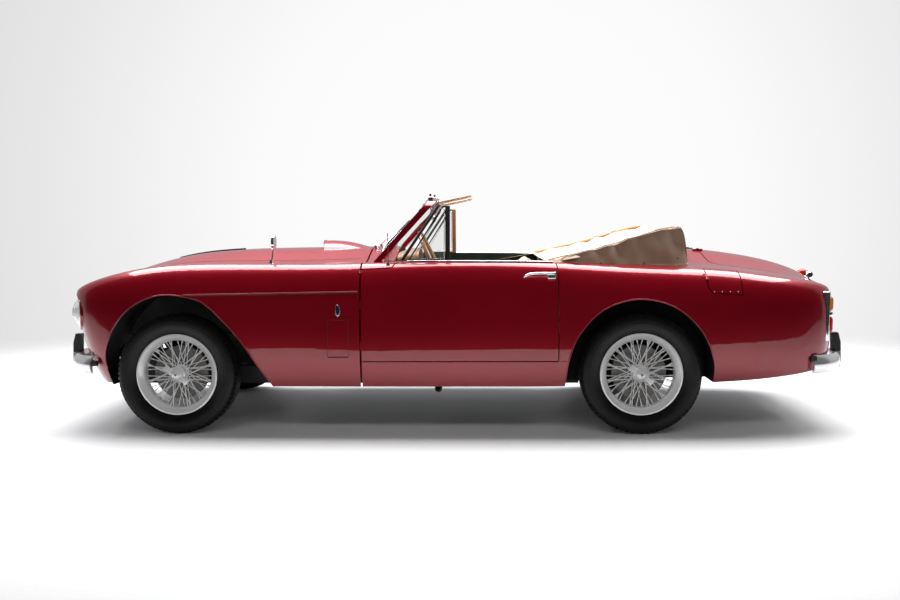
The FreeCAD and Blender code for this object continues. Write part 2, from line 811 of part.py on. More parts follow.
rail_half = size("rail_spread") / 2
rail_out = rail_half + size("rail_width") / 2
rail_in = rail_half - size("rail_width") / 2
low_rail_z = (RAIL_UNDER, FLOOR_UNDER)
high_rail_z = (BOOT_UNDER - 70, BOOT_UNDER)
step_x = X_REAR_AXLE - 380
horn_x = HINGE_X + 60
chassis = []
sockets = []
JACK_X = X_FRONT_AXLE + 1423
JACK_Z = RAIL_UNDER + 22
JACK_OUT = 705.0
JACK_BORE = 14.0
for sign in (1, -1):
    span = (rail_in, rail_out) if sign == 1 else (-rail_out, -rail_in)
    chassis.append(block((horn_x, step_x + 82), span, low_rail_z))
    chassis.append(block((step_x + 12, step_x + 82), span, (RAIL_UNDER, BOOT_UNDER)))
    chassis.append(block((step_x + 12, X_TAIL - 190), span, high_rail_z))
    spot = HINGE_Y * sign
    chassis.append(block((HINGE_X, horn_x + 60), (spot - 14, spot + 14), (HINGE_Z - 16, HINGE_Z + 16)))
    chassis.append(rod(16, (HINGE_X, spot - 14, HINGE_Z), (HINGE_X, spot + 14, HINGE_Z)))
    chassis.append(rod(PIN_RADIUS, (HINGE_X, spot - 36, HINGE_Z), (HINGE_X, spot + 36, HINGE_Z)))
    for x in (X_DOOR + 40, X_DOOR_END - 80):
        reach = (rail_in, 700) if sign == 1 else (-700, -rail_in)
        chassis.append(block((x, x + 60), reach, (RAIL_UNDER + 40, FLOOR_UNDER)))
    jack_end = JACK_OUT * sign
    chassis.append(rod(20, (JACK_X, rail_half * sign, JACK_Z), (JACK_X, jack_end, JACK_Z)))
    sockets.append(rod(JACK_BORE, (JACK_X, (JACK_OUT - 60) * sign, JACK_Z), (JACK_X, jack_end, JACK_Z)))
for x in (X_FRONT_AXLE - 60, X_FRONT_AXLE + 420, X_DOOR + 300, X_DOOR_END - 150):
    chassis.append(block((x, x + 110), (-rail_in - 5, rail_in + 5), low_rail_z))
chassis.append(block((horn_x, horn_x + 60), (-rail_in - 5, rail_in + 5), (RAIL_UNDER, HINGE_Z + 16)))
chassis.append(block((X_TAIL - 260, X_TAIL - 190), (-rail_in - 5, rail_in + 5), high_rail_z))
frame = doc.addObject("Part::MultiFuse", "Frame")
frame.Shapes = chassis
bores = doc.addObject("Part::Compound", "Sockets")
bores.Links = sockets
chassis_frame = doc.addObject("Part::Cut", "chassis_frame")
chassis_frame.Base = frame
chassis_frame.Tool = bores
node(chassis_frame, "chassis_frame")

engine = block((X_FRONT_AXLE - 70, X_FIREWALL - 60), (-200, 200), (FLOOR_UNDER, 720))
gearbox = block((X_FIREWALL - 70, X_FIREWALL - 6), (-80, 80), (FLOOR_UNDER + 10, 520))
joined("engine_block", [engine, gearbox])


# Suspension, axle and wheels

HUB_IN = 24.0
front_half = size("front_track") / 2
rear_half = size("rear_track") / 2
knuckle_y = front_half - size("kingpin_inset")
links = []
for sign in (1, -1):
    tower = (rail_in, rail_out) if sign == 1 else (-rail_out, -rail_in)
    links.append(block((X_FRONT_AXLE - 55, X_FRONT_AXLE + 55), tower, (FLOOR_UNDER, AXLE_Z + 170)))
    low_end = (X_FRONT_AXLE, knuckle_y * sign, RAIL_UNDER + 8)
    high_end = (X_FRONT_AXLE, knuckle_y * sign, AXLE_Z + 110)
    for dx in (-45, 45):
        links.append(rod(13, (X_FRONT_AXLE + dx, (rail_out + 3) * sign, RAIL_UNDER + 30), low_end))
        links.append(rod(11, (X_FRONT_AXLE + dx, rail_half * sign, AXLE_Z + 140), high_end))
    links.append(rod(20, low_end, (X_FRONT_AXLE, knuckle_y * sign, RAIL_UNDER + 30)))
    links.append(rod(20, (X_FRONT_AXLE, knuckle_y * sign, AXLE_Z + 95.3), high_end))
joined("front_suspension", links)


def knuckle(name, sign):
    """Kingpin, boss, stub axle, backing plate and steering arm of one front wheel."""
    x = X_FRONT_AXLE
    y = knuckle_y * sign
    plate = front_half - HUB_IN - size("drum_depth") + 6
    pieces = [
        rod(size("kingpin_radius"), (x, y, RAIL_UNDER + 30.3), (x, y, AXLE_Z + 95)),
        rod(32, (x, y, AXLE_Z), (x, (plate + 2) * sign, AXLE_Z)),
        rod(size("stub_radius"), (x, y, AXLE_Z), (x, (front_half + 26) * sign, AXLE_Z)),
        rod(size("drum_radius") - 14, (x, (plate - 3) * sign, AXLE_Z), (x, (plate + 3) * sign, AXLE_Z)),
        rod(12, (x, y, AXLE_Z - 60), (x + 130, y * 0.93, AXLE_Z - 60)),
    ]
    return joined(name, pieces)


knuckle("knuckle_left", LEFT)
knuckle("knuckle_right", RIGHT)

rear_plate = rear_half - HUB_IN - size("drum_depth") + 6
axle = []
for sign in (1, -1):
    x = X_REAR_AXLE
    axle.append(rod(size("axle_tube_radius"), (x, 0, AXLE_Z), (x, rear_plate * sign, AXLE_Z)))
    axle.append(rod(size("stub_radius"), (x, 0, AXLE_Z), (x, (rear_half + 26) * sign, AXLE_Z)))
    radius = size("drum_radius") - 14
    axle.append(rod(radius, (x, (rear_plate - 3) * sign, AXLE_Z), (x, (rear_plate + 3) * sign, AXLE_Z)))
    axle.append(rod(48, (x, rail_half * sign, AXLE_Z + 20), (x, rail_half * sign, BOOT_UNDER - 70)))
    axle.append(rod(14, (x, rail_half * sign, AXLE_Z - 20), (step_x + 84.4, rail_half * sign, RAIL_UNDER + 60)))
middle = doc.addObject("Part::Sphere", "Middle")
bind(middle, Radius=120)
put_at(middle, (X_REAR_AXLE, 0, AXLE_Z))
axle.append(middle)
axle.append(rod(28, (X_FIREWALL - 3.9, 0, AXLE_Z + 80), (X_REAR_AXLE, 0, AXLE_Z)))
joined("rear_axle", axle)

RIM = size("rim_radius")
RIM_HALF = size("rim_width") / 2
WALL = size("rim_wall")
BORE = size("stub_radius") + size("running_clearance")
HUB = size("hub_radius")

rim = turned("Rim", [
    (RIM, -RIM_HALF), (RIM, -RIM_HALF + 6), (RIM - 14, -RIM_HALF + 8), (RIM - 16, -26),
    (RIM - 30, -15), (RIM - 30, 15), (RIM - 16, 26), (RIM - 14, RIM_HALF - 8),
    (RIM, RIM_HALF - 6), (RIM, RIM_HALF), (RIM - 14 - WALL, RIM_HALF - 2), (RIM - 16 - WALL, 29),
    (RIM - 30 - WALL, 18), (RIM - 30 - WALL, -18), (RIM - 16 - WALL, -29),
    (RIM - 14 - WALL, -RIM_HALF + 2),
])
hub = turned("Hub", [
    (BORE, HUB_IN), (HUB, HUB_IN), (HUB, 14), (HUB - 9, 6), (HUB - 9, -30), (HUB - 3, -36),
    (HUB - 3, -47), (HUB - 12, -52), (HUB - 12, -66), (HUB - 22, -80), (0, -84), (0, -28), (BORE, -28),
])
doc.recompute()


def spokes():
    """The wires: two rows, each of pairs that lean opposite ways and cross."""
    rim_r = float(RIM - 30 - WALL) + 2
    made = []
    rows = (
        (12, float(HUB) - 12, -33.0, -9.0, 40.0),
        (18, float(HUB) - 3, 19.0, 8.0, 30.0),
    )
    for count, hub_r, hub_y, rim_y, lean in rows:
        for k in range(count):
            for sign in (1, -1):
                start = 360.0 / count * (k + 0.25 * sign)
                a = math.radians(start)
                b = math.radians(start + lean * sign)
                low = Vector(hub_r * math.cos(a), hub_y + 1.5 * sign, hub_r * math.sin(a))
                high = Vector(rim_r * math.cos(b), rim_y + 3.2 * sign, rim_r * math.sin(b))
                made.append(wire(low, high))
    return made


def wire(low, high):
    along = high - low
    turn = FreeCAD.Rotation(Vector(0, 0, 1), along)
    radius = float(size("spoke_radius"))
    corners = [
        Vector(radius * math.cos(math.radians(60 * k)), radius * math.sin(math.radians(60 * k)), 0)
        for k in range(6)
    ]
    corners = [low + turn.multVec(corner) for corner in corners]
    return Part.Face(Part.makePolygon(corners + [corners[0]])).extrude(along)


def spinner_ears():
    """The two ears of the knock-off nut."""
    reach = float(size("spinner_span")) / 2
    ear = prism(
        [(14, -15), (reach - 8, -10), (reach, 0), (reach - 8, 10), (14, 15)], "y", -77, -64
    )
    return [ear, ear.mirror(Vector(0, 0, 0), Vector(1, 0, 0))]


wheel_shape = rim.Shape.fuse([hub.Shape] + spokes() + spinner_ears())
TREAD_HALF = size("tyre_width") / 2
BEAD = RIM - 14 + size("running_clearance")
tyre = turned("Tyre", [
    (BEAD, -RIM_HALF + 8.6), (RIM + 0.6, -RIM_HALF + 6.6), (RIM + 52, -TREAD_HALF),
    (AXLE_Z, -TREAD_HALF + 22), (AXLE_Z, TREAD_HALF - 22), (RIM + 52, TREAD_HALF),
    (RIM + 0.6, RIM_HALF - 6.6), (BEAD, RIM_HALF - 8.6),
])
DRUM = size("drum_radius")
drum = turned("Drum", [
    (BORE, HUB_IN), (DRUM, HUB_IN), (DRUM, HUB_IN + size("drum_depth")),
    (DRUM - 8, HUB_IN + size("drum_depth")), (DRUM - 8, HUB_IN + 7), (BORE, HUB_IN + 7),
])
doc.recompute()

CORNERS = {
    "front_left": (X_FRONT_AXLE, front_half, LEFT),
    "front_right": (X_FRONT_AXLE, front_half, RIGHT),
    "rear_left": (X_REAR_AXLE, rear_half, LEFT),
    "rear_right": (X_REAR_AXLE, rear_half, RIGHT),
}
for corner, (x, half, side) in CORNERS.items():
    turn = FreeCAD.Rotation(Vector(0, 0, 1), 0 if side == LEFT else 180)
    for kind, shape in (("tyre", tyre.Shape), ("wire_wheel", wheel_shape), ("brake_drum", drum.Shape)):
        item = feature(f"{kind}_{corner}", shape.copy())
        put_at(item, (x, half * side, AXLE_Z), turn)


# Bumpers, lamps and grille


def overriders(sign):
    """Two upright horns on a bumper bar, and the irons behind them."""
    tip = float(X_TAIL) * sign
    level = float(size("bumper_level"))
    back = (float(X_TAIL) - 60) * sign
    low = level - 46
    bar_back = (float(X_TAIL) - 6 - float(size("bumper_depth"))) * sign
    pieces = []
    for y in (-450.0, 450.0):
        horn = prism(
            [(back, low), (tip - 6 * sign, low), (tip, level - 10), (tip - 4 * sign, level + 95),
             (tip - 18 * sign, level + 148), (back + 8 * sign, level + 148), (back + 12 * sign, level + 60)],
            "y", y - 19, y + 19,
        )
        inner = (float(X_TAIL) - 150) * sign
        iron = slab(
            (min(inner, bar_back), max(inner, bar_back)),
            (y * 0.9 - 14, y * 0.9 + 14), (level - 12, level + 12),
        )
        pieces += [horn, iron]
    return pieces


feature("front_bumper", front_bar.fuse(overriders(-1)).cut(outer))
feature("rear_bumper", rear_bar.fuse(overriders(1)).cut(outer))


def tail_lamp():
    """A tall lens unit on the left rear corner, turned to follow the corner."""
    body = Part.makeBox(70, 62, 273, Vector(-44, -31, 491))
    body = body.makeFillet(18, [e for e in body.Edges if abs(e.tangentAt(e.FirstParameter).x) > 0.9])
    body.rotate(Vector(0, 0, 0), Vector(0, 0, 1), -22)
    body.translate(Vector(float(X_REAR_AXLE) + 1026, -616, 0))
    return body.cut(outer)


lamp = tail_lamp()
feature("tail_lamps", Part.makeCompound([lamp, mirrored(lamp)]), 2)


def headlamp():
    """The left headlamp: bucket, bezel and domed glass, turned about its own axis."""
    radius = float(size("headlamp_radius"))
    x = float(X_NOSE) + 62
    y = -float(size("headlamp_spread")) / 2
    z = float(size("headlamp_level"))
    back = x + 78
    profile = [
        Vector(back, 0, 0), Vector(back, 0, 40), Vector(x + 26, 0, radius - 4), Vector(x + 26, 0, radius),
        Vector(x + 8, 0, radius), Vector(x, 0, radius - 10), Vector(x - 2, 0, radius - 16),
    ]
    edges = [Part.makeLine(profile[i], profile[i + 1]) for i in range(len(profile) - 1)]
    rim = radius - 16
    dome = 22.0
    ball = (rim * rim + dome * dome) / (2 * dome)
    half_way = math.asin(rim / ball) / 2
    tip = Vector(x - 2 - dome, 0, 0)
    middle = Vector(tip.x + ball * (1 - math.cos(half_way)), 0, ball * math.sin(half_way))
    edges.append(Part.Arc(profile[-1], middle, tip).toShape())
    edges.append(Part.makeLine(tip, profile[0]))
    solid = Part.Face(Part.Wire(edges)).revolve(Vector(0, 0, 0), Vector(1, 0, 0), 360)
    solid.translate(Vector(0, y, z))
    return solid


lamp = headlamp()
feature("headlamps", Part.makeCompound([lamp, mirrored(lamp)]), 2)


GRILLE_BARS = [436 + 24 * k for k in range(8)]


def grille():
    """Level bars in a surround that fills the nose's mouth, bowed and sloped as the nose is."""
    front = float(X_NOSE) + 40
    back = float(X_NOSE) + 200
    base = float(X_NOSE) + 123
    ends = []
    for shift in (0, 16):
        points = [Vector(base + shift + 14, -480, 400), Vector(base + shift, 0, 400), Vector(base + shift + 14, 480, 400)]
        ends.append(Part.Arc(*points).toShape())
    sides = [Part.makeLine(ends[0].Vertexes[i].Point, ends[1].Vertexes[i].Point) for i in (0, 1)]
    plan = Part.Face(Part.Wire(Part.__sortEdges__(ends + sides)))
    layer = plan.extrude(Vector(-66, 0, 250))
    mouth = grille_prism(front, back, float(size("running_clearance")))
    ring = layer.common(mouth).cut(grille_prism(front, back, 16))
    bars = [slab((front, back), (-470, 470), (z - 4, z + 4)) for z in GRILLE_BARS]
    bars += [slab((front, back), (y - 6, y + 6), (400, 650)) for y in (-220, 0, 220)]
    return ring.fuse([bar.common(layer).common(mouth) for bar in bars])


feature("grille", grille())


def wing_mirror():
    """A round mirror on a thin arm, on the left wing."""
    x = float(X_FRONT_AXLE) + 501
    y = -620.0
    arm = Part.makeCylinder(5, 90, Vector(x, y, 915), Vector(0.17, 0, 1))
    foot = Part.makeCone(17, 8, 30, Vector(x, y, 915))
    head = Part.makeCylinder(41, 14, Vector(x + 10, y, 1041), Vector(1, 0, 0))
    return arm.fuse([foot, head]).cut(outer.translated(Vector(0, 0, float(size("running_clearance")))))


feature("wing_mirror", wing_mirror())


# Windscreen

SCREEN_BASE_X = float(X_FRONT_AXLE) + 1117
SCREEN_BOW = 49.0
SCREEN_HALF = 640.0
SCREEN_TOP = 1250.0
SCREEN_BASE = 976.0


def screen_layer(front, thickness):
    """A bowed sheet along the screen's rake, between a distance behind its front and that plus its depth."""
    rake = Vector(float(size("windscreen_rake")), 0, float(size("windscreen_rise")))
    low = -0.35
    start = Vector(front, 0, 0) + rake * low
    base = Vector(SCREEN_BASE_X, 0, SCREEN_BASE)
    ends = []
    for shift in (0, thickness):
        left = base + start + Vector(shift, -SCREEN_HALF - 60, 0)
        middle = base + start + Vector(shift - SCREEN_BOW * 1.2, 0, 0)
        right = base + start + Vector(shift, SCREEN_HALF + 60, 0)
        ends.append(Part.Arc(left, middle, right).toShape())
    sides = [
        Part.makeLine(ends[0].Vertexes[0].Point, ends[1].Vertexes[0].Point),
        Part.makeLine(ends[0].Vertexes[1].Point, ends[1].Vertexes[1].Point),
    ]
    face = Part.Face(Part.Wire(Part.__sortEdges__(ends + sides)))
    return face.extrude(rake * 1.7)


def screen_outline(inset, low):
    """The screen seen from the front, with its rounded top corners."""
    half_low = SCREEN_HALF + 28 - inset
    half_top = SCREEN_HALF - 8 - inset
    top = SCREEN_TOP - inset * 0.95
    left = [
        (-half_low, low), (-half_top, top - 40), (-half_top + 10, top - 12), (-half_top + 38, top + 6),
        (-0.6 * half_top, top + 28), (-0.3 * half_top, top + 39),
    ]
    right = [(-y, z) for y, z in reversed(left)]
    front = SCREEN_BASE_X - 300
    corners = [Vector(front, y, z) for y, z in left + [(0, top + 42)] + right]
    curve = Part.BSplineCurve()
    curve.interpolate(corners[1:-1])
    edges = [
        Part.makeLine(corners[0], corners[1]), curve.toShape(), Part.makeLine(corners[-2], corners[-1]),
        Part.makeLine(corners[-1], corners[0]),
    ]
    return Part.Face(Part.Wire(edges)).extrude(Vector(700, 0, 0))


depth = float(size("windscreen_depth"))
screen = screen_layer(0, depth).common(screen_outline(0, 850))
window = screen_outline(34, 700)
sill_bar = screen_layer(0, depth).common(screen_outline(0, 850)).common(outer.translated(Vector(0, 0, 16)))
frame_shape = screen.cut(window).fuse(sill_bar).cut(outer)
feature("windscreen_frame", frame_shape)
glass = screen_layer(6, 6).common(screen_outline(33, 850)).cut(outer).cut(frame_shape)
feature("windscreen_glass", glass)


# Cabin

wheel_hub = Vector(float(X_FRONT_AXLE) + 1393, -340, 901)
COLUMN_TILT = 25.0
column_line = Vector(-math.cos(math.radians(COLUMN_TILT)), 0, -math.sin(math.radians(COLUMN_TILT)))


def on_column(distance):
    spot = wheel_hub + column_line * distance
    return (spot.x, spot.y, spot.z)


ring_mid = size("steering_wheel_radius")
ring_thick = size("steering_rim_radius")
ring = turned("Hand_wheel_rim", [
    (ring_mid - ring_thick, -5), (ring_mid - ring_thick, 5), (ring_mid - 5, ring_thick), (ring_mid + 5, ring_thick),
    (ring_mid + ring_thick, 5), (ring_mid + ring_thick, -5), (ring_mid + 5, -ring_thick), (ring_mid - 5, -ring_thick),
])
put_at(ring, on_column(0), FreeCAD.Rotation(Vector(0, 1, 0), column_line))
boss = rod(34, on_column(-6), on_column(40))
wheel_parts = [ring, boss]
for angle in (90, 210, 330):
    turn = FreeCAD.Rotation(column_line, angle)
    arm = turn.multVec(Vector(-column_line.z, 0, column_line.x)) * float(size("steering_wheel_radius"))
    start = Vector(*on_column(22))
    end = Vector(*on_column(0)) + arm
    wheel_parts.append(rod(7, tuple(start), tuple(end)))
joined("steering_wheel", wheel_parts)
column_end = (X_FIREWALL + 15).value
column_reach = (wheel_hub.x - column_end) / -column_line.x
node(rod(19, on_column(40.3), on_column(column_reach - 9.2)), "steering_column")

dash = prism(
    [(float(X_COWL_EDGE) - 30, 960), (float(X_COWL_EDGE) + 42, 960), (float(X_COWL_EDGE) + 60, 900),
     (float(X_COWL_EDGE) + 30, 740), (float(X_COWL_EDGE) - 10, 740), (float(X_COWL_EDGE) - 30, 880)],
    "y", -640, 640,
).common(cabin_inner)
room = Part.makeCylinder(22, 700, wheel_hub, column_line)
feature("dashboard", dash.cut(room))

seat_mid = size("seat_spread") / 2
seats = []
for sign in (1, -1):
    body = doc.addObject("PartDesign::Body", "Seat")
    x = X_DOOR
    outline = outline_sketch(body, "XZ_Plane", [
        (x + 420, FLOOR_Z), (x + 405, 520), (x + 420, 575), (x + 830, 540), (x + 898, 925),
        (x + 925, 958), (x + 960, 950), (x + 980, 905), (x + 925, 480), (x + 890, FLOOR_Z),
    ])
    pad = body.newObject("PartDesign::Pad", "Width")
    pad.Profile = (outline, [""])
    pad.SideType = "Symmetric"
    bind(pad, Length=size("seat_width"))
    put_at(body, (0, seat_mid * sign, 0))
    seats.append(body)
grouped("front_seats", seats)

bench = doc.addObject("PartDesign::Body", "Bench")
x = X_DOOR_END
outline = outline_sketch(bench, "XZ_Plane", [
    (x + 90, BOOT_Z), (x + 80, BOOT_Z + 120), (x + 95, BOOT_Z + 150), (x + 380, BOOT_Z + 130),
    (x + 440, 836), (x + 470, 850), (x + 500, 836), (x + 500, BOOT_Z),
])
pad = bench.newObject("PartDesign::Pad", "Width")
pad.Profile = (outline, [""])
pad.SideType = "Symmetric"
pad.Length = 1060
node(bench, "rear_seat")

lever = [
    rod(7, (X_DOOR + 390, 0, TUNNEL_Z + 2), (X_DOOR + 350, 0, FLOOR_Z + 330)),
    rod(9, (X_DOOR + 560, 50, TUNNEL_Z + 8), (X_DOOR + 420, 50, FLOOR_Z + 235)),
]
knob = doc.addObject("Part::Sphere", "Knob")
bind(knob, Radius=22)
put_at(knob, (X_DOOR + 350, 0, FLOOR_Z + 335))
grouped("cabin_levers", [joined_only([lever[0], knob]), lever[1]])


def hood_cover():
    """The cover over the folded hood: high at both sides and behind, and sagging between."""
    start = float(X_DOOR_END) - 40
    places = [
        (start, 690, 934, 930), (start + 70, 676, 948, 934), (start + 280, 640, 996, 950),
        (start + 520, 604, 1070, 1004), (start + 620, 588, 1096, 1050), (start + 700, 574, 1108, 1084),
        (start + 728, 570, 1092, 1076), (start + 745, 566, 1010, 1010),
    ]
    sections = []
    for x, half, side_z, middle_z in places:
        foot = 880
        corners = [
            (-half, foot), (-half, 905 + 0.4 * (side_z - 905)), (-half + 14, side_z - 4),
            (-half + 50, side_z), (-half * 0.55, 0.5 * (side_z + middle_z)), (0, middle_z),
            (half * 0.55, 0.5 * (side_z + middle_z)), (half - 50, side_z), (half - 14, side_z - 4),
            (half, 905 + 0.4 * (side_z - 905)), (half, foot),
        ]
        sections.append(Part.makePolygon([Vector(x, y, z) for y, z in corners + [corners[0]]]))
    cover = Part.makeLoft(sections, True, True)
    deck = outer.cut(prism(opening_plan(), "z", 800, 1300))
    return cover.cut(deck)


feature("hood_cover", hood_cover())


def quarter_light():
    """The fixed triangular window at the front of the left door: its frame round a thin pane."""
    x = float(X_DOOR) + 224
    post = float(X_DOOR) + 444
    outline = [(x, 926), (post + 27, 926), (post + 27, 1246), (x + 200, 1246)]
    pane = [(x + 38, 952), (post - 4, 952), (post - 4, 1228), (x + 203, 1228)]
    plate = prism(outline, "y", -7, 7)
    return plate.cut([prism(pane, "y", -9, -2), prism(pane, "y", 2, 9)])


def lean_in(shape):
    """Leans a piece drawn upright so that it follows the windscreen pillar."""
    shape = shape.copy()
    shape.translate(Vector(0, 0, -936))
    shape.rotate(Vector(0, 0, 0), Vector(1, 0, 0), -9)
    shape.translate(Vector(0, -702, 936))
    return shape


light = lean_in(quarter_light()).cut(outer)
feature("quarter_light_left", light)
feature("quarter_light_right", mirrored(light))


def door_handle():
    x = float(X_DOOR_END)
    bar = Part.makeCylinder(7, 170, Vector(x - 182, -810, 872), Vector(1, 0, 0))
    posts = [
        Part.makeCylinder(4.5, 60, Vector(x - 165, -810, 872), Vector(0, 1, 0)),
        Part.makeCylinder(5.5, 60, Vector(x - 36, -810, 872), Vector(0, 1, 0)),
    ]
    return bar.fuse(posts).cut(outer)


handle = door_handle()
feature("door_handle_left", handle)
feature("door_handle_right", mirrored(handle))

lid_lamp = Part.makeCylinder(22, 76, Vector(float(X_LID_END) - 9, -38, 838), Vector(0, 1, 0))
feature("lid_lamp", lid_lamp.cut(outer))

PIPE = size("exhaust_radius")
PIPE_Z = RAIL_UNDER - PIPE - size("running_clearance")
pipe_y = rail_half
exhaust = [
    rod(PIPE, (X_FIREWALL - 300, pipe_y, PIPE_Z), (X_TAIL - 75, pipe_y, PIPE_Z)),
    rod(44, (X_DOOR + 400, pipe_y, RAIL_UNDER - 47), (X_DOOR + 900, pipe_y, RAIL_UNDER - 47)),
    rod(8, (X_TAIL - 230, pipe_y, PIPE_Z), (X_TAIL - 230, pipe_y, BOOT_UNDER - 70.3)),
]
joined("exhaust", exhaust)

doc.recompute()
for item in doc.Objects:
    state = ",".join(item.State)
    if "Invalid" in state or "Error" in state:
        raise RuntimeError(f"{item.Label} failed: {state}")
for item in nodes:
    if item.Shape.isNull() or not item.Shape.isValid():
        raise RuntimeError(f"{item.Label} has no valid shape")
os.makedirs("parts", exist_ok=True)
for item in nodes:
    item.Shape.exportStep(os.path.join("parts", f"{item.Label}.step"))
print("sub-parts", len(nodes))
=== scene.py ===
import math

import bmesh
import bpy
from mathutils import Matrix, Vector
from mathutils.bvhtree import BVHTree


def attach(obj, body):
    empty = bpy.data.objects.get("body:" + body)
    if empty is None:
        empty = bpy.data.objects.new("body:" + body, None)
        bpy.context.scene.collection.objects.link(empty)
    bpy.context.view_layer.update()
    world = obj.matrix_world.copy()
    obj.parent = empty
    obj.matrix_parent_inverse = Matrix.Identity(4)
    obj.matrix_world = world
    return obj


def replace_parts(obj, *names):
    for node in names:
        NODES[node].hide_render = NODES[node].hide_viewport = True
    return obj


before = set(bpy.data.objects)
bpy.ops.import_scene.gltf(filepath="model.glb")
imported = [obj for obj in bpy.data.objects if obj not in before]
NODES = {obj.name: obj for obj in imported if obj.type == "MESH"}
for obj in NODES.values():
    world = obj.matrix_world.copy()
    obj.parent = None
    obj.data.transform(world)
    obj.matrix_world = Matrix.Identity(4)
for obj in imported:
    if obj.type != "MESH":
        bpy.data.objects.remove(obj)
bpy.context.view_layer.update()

SIDES = ((-1, "left"), (1, "right"))
FRONT_AXLE = -1.493
REAR_AXLE = 1.022
TRACK_HALF = 0.686
AXLE_Z = 0.328
TAU = 2 * math.pi


# Small tools for shapes


def as_mesh(bm, smooth=35.0, name="part"):
    """Turns a bmesh into a mesh whose edges stay sharp above an angle."""
    limit = math.radians(smooth)
    bm.normal_update()
    for face in bm.faces:
        face.smooth = True
    for edge in bm.edges:
        if len(edge.link_faces) == 2 and edge.calc_face_angle(0.0) > limit:
            edge.smooth = False
    mesh = bpy.data.meshes.new(name)
    bm.to_mesh(mesh)
    bm.free()
    return mesh


def place(name, mesh, material, body=None):
    item = bpy.data.objects.new(name, mesh)
    bpy.context.scene.collection.objects.link(item)
    mesh.materials.clear()
    mesh.materials.append(material)
    if body:
        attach(item, body)
    return item


def settle(name, bm, material, smooth=35.0, body=None):
    return place(name, as_mesh(bm, smooth, name), material, body)


def bevel(bm, edges, width, segments=3):
    bmesh.ops.bevel(
        bm, geom=edges, offset=width, offset_type="OFFSET", segments=segments, profile=0.5,
        affect="EDGES", material=-1,
    )


def outwards(bm):
    bmesh.ops.recalc_face_normals(bm, faces=bm.faces)


def thicken(bm, thickness):
    bmesh.ops.solidify(bm, geom=bm.faces[:], thickness=thickness)


def angles(count, first=0.0):
    """Equal steps of a full turn."""
    return [first + TAU * k / count for k in range(count)]


def along(start, end, count):
    """Equal steps from one number to another, with both ends."""
    return [start + (end - start) * k / (count - 1) for k in range(count)]


def lathe(profile, steps, axis="Y"):
    """A closed outline of (radius, place along the axis) turned all the way round."""
    bm = bmesh.new()
    points = [bm.verts.new((r, a, 0.0)) for r, a in profile]
    edges = [bm.edges.new(pair) for pair in zip(points, points[1:] + points[:1])]
    bmesh.ops.spin(
        bm, geom=points + edges, cent=(0, 0, 0), axis=(0, 1, 0), dvec=(0, 0, 0),
        angle=TAU, steps=steps, use_merge=True, use_duplicate=False,
    )
    outwards(bm)
    if axis == "X":
        bm.transform(Matrix.Rotation(math.radians(-90), 4, "Z"))
    return bm


def extrude(bm, outline, move):
    """Adds a flat outline carried along a move, as a closed solid."""
    face = bm.faces.new([bm.verts.new(spot) for spot in outline])
    made = bmesh.ops.extrude_face_region(bm, geom=[face])
    moved = [item for item in made["geom"] if isinstance(item, bmesh.types.BMVert)]
    bmesh.ops.translate(bm, vec=move, verts=moved)
    outwards(bm)


def skin(bm, rows, around=False):
    """Joins rows of vertices with faces. Rows that run around make a tube with closed ends."""
    count = len(rows[0])
    for a, b in zip(rows, rows[1:]):
        for j in range(count if around else count - 1):
            k = (j + 1) % count
            bm.faces.new((a[j], b[j], b[k], a[k]))
    if around:
        bm.faces.new(rows[0])
        bm.faces.new(rows[-1])


def upwards(bm):
    """Turns an open sheet's faces to the upper side."""
    outwards(bm)
    if sum(face.normal.z * face.calc_area() for face in bm.faces) < 0:
        bmesh.ops.reverse_faces(bm, faces=bm.faces)


def drawn(item):
    """The mesh that an object shows once its curve or its modifiers are worked out."""
    bpy.context.view_layer.update()
    return bpy.data.meshes.new_from_object(item.evaluated_get(bpy.context.evaluated_depsgraph_get()))


def wire_mesh(name, paths, radius, sides=2, cyclic=False):
    """Round bars along paths of points, as one mesh."""
    curve = bpy.data.curves.new(name, "CURVE")
    curve.dimensions = "3D"
    curve.bevel_depth = radius
    curve.bevel_resolution = sides
    curve.use_fill_caps = True
    for path in paths:
        spline = curve.splines.new("POLY")
        spline.points.add(len(path) - 1)
        for point, spot in zip(spline.points, path):
            point.co = (*spot, 1.0)
        spline.use_cyclic_u = cyclic
    holder = bpy.data.objects.new(name + "_path", curve)
    bpy.context.scene.collection.objects.link(holder)
    mesh = drawn(holder)
    bpy.data.objects.remove(holder)
    for polygon in mesh.polygons:
        polygon.use_smooth = True
    return mesh


def trim(name, paths, radius, material, body, sides=2, cyclic=False):
    """Thin round trim along paths of points."""
    return place(name, wire_mesh(name, paths, radius, sides, cyclic), material, body)


def eased(a, b, c, d, t):
    """A share t of the way from b to c, on the smooth curve through all four."""
    bend = 2 * a - 5 * b + 4 * c - d
    twist = 3 * b - a - 3 * c + d
    return 0.5 * (2 * b + (c - a) * t + bend * t * t + twist * t ** 3)


def near(items, k):
    """The item before k, the two round that stretch and the one after, held at the list's ends."""
    return [items[min(max(k + shift, 0), len(items) - 1)] for shift in (-1, 0, 1, 2)]


def smooth_path(points, steps=8):
    """Points along a smooth curve through the given ones."""
    spots = [Vector(p) for p in points]
    made = [eased(*near(spots, i), k / steps) for i in range(len(spots) - 1) for k in range(steps)]
    return made + [spots[-1]]


def box_mesh(bm, low, high, round_edge=0.0, segments=2):
    """Adds a box between two corners, with its edges rounded."""
    verts = bmesh.ops.create_cube(bm, size=1.0)["verts"]
    bmesh.ops.scale(bm, vec=Vector(high) - Vector(low), verts=verts)
    bmesh.ops.translate(bm, vec=(Vector(low) + Vector(high)) / 2, verts=verts)
    if round_edge:
        bevel(bm, list({edge for vert in verts for edge in vert.link_edges}), round_edge, segments)


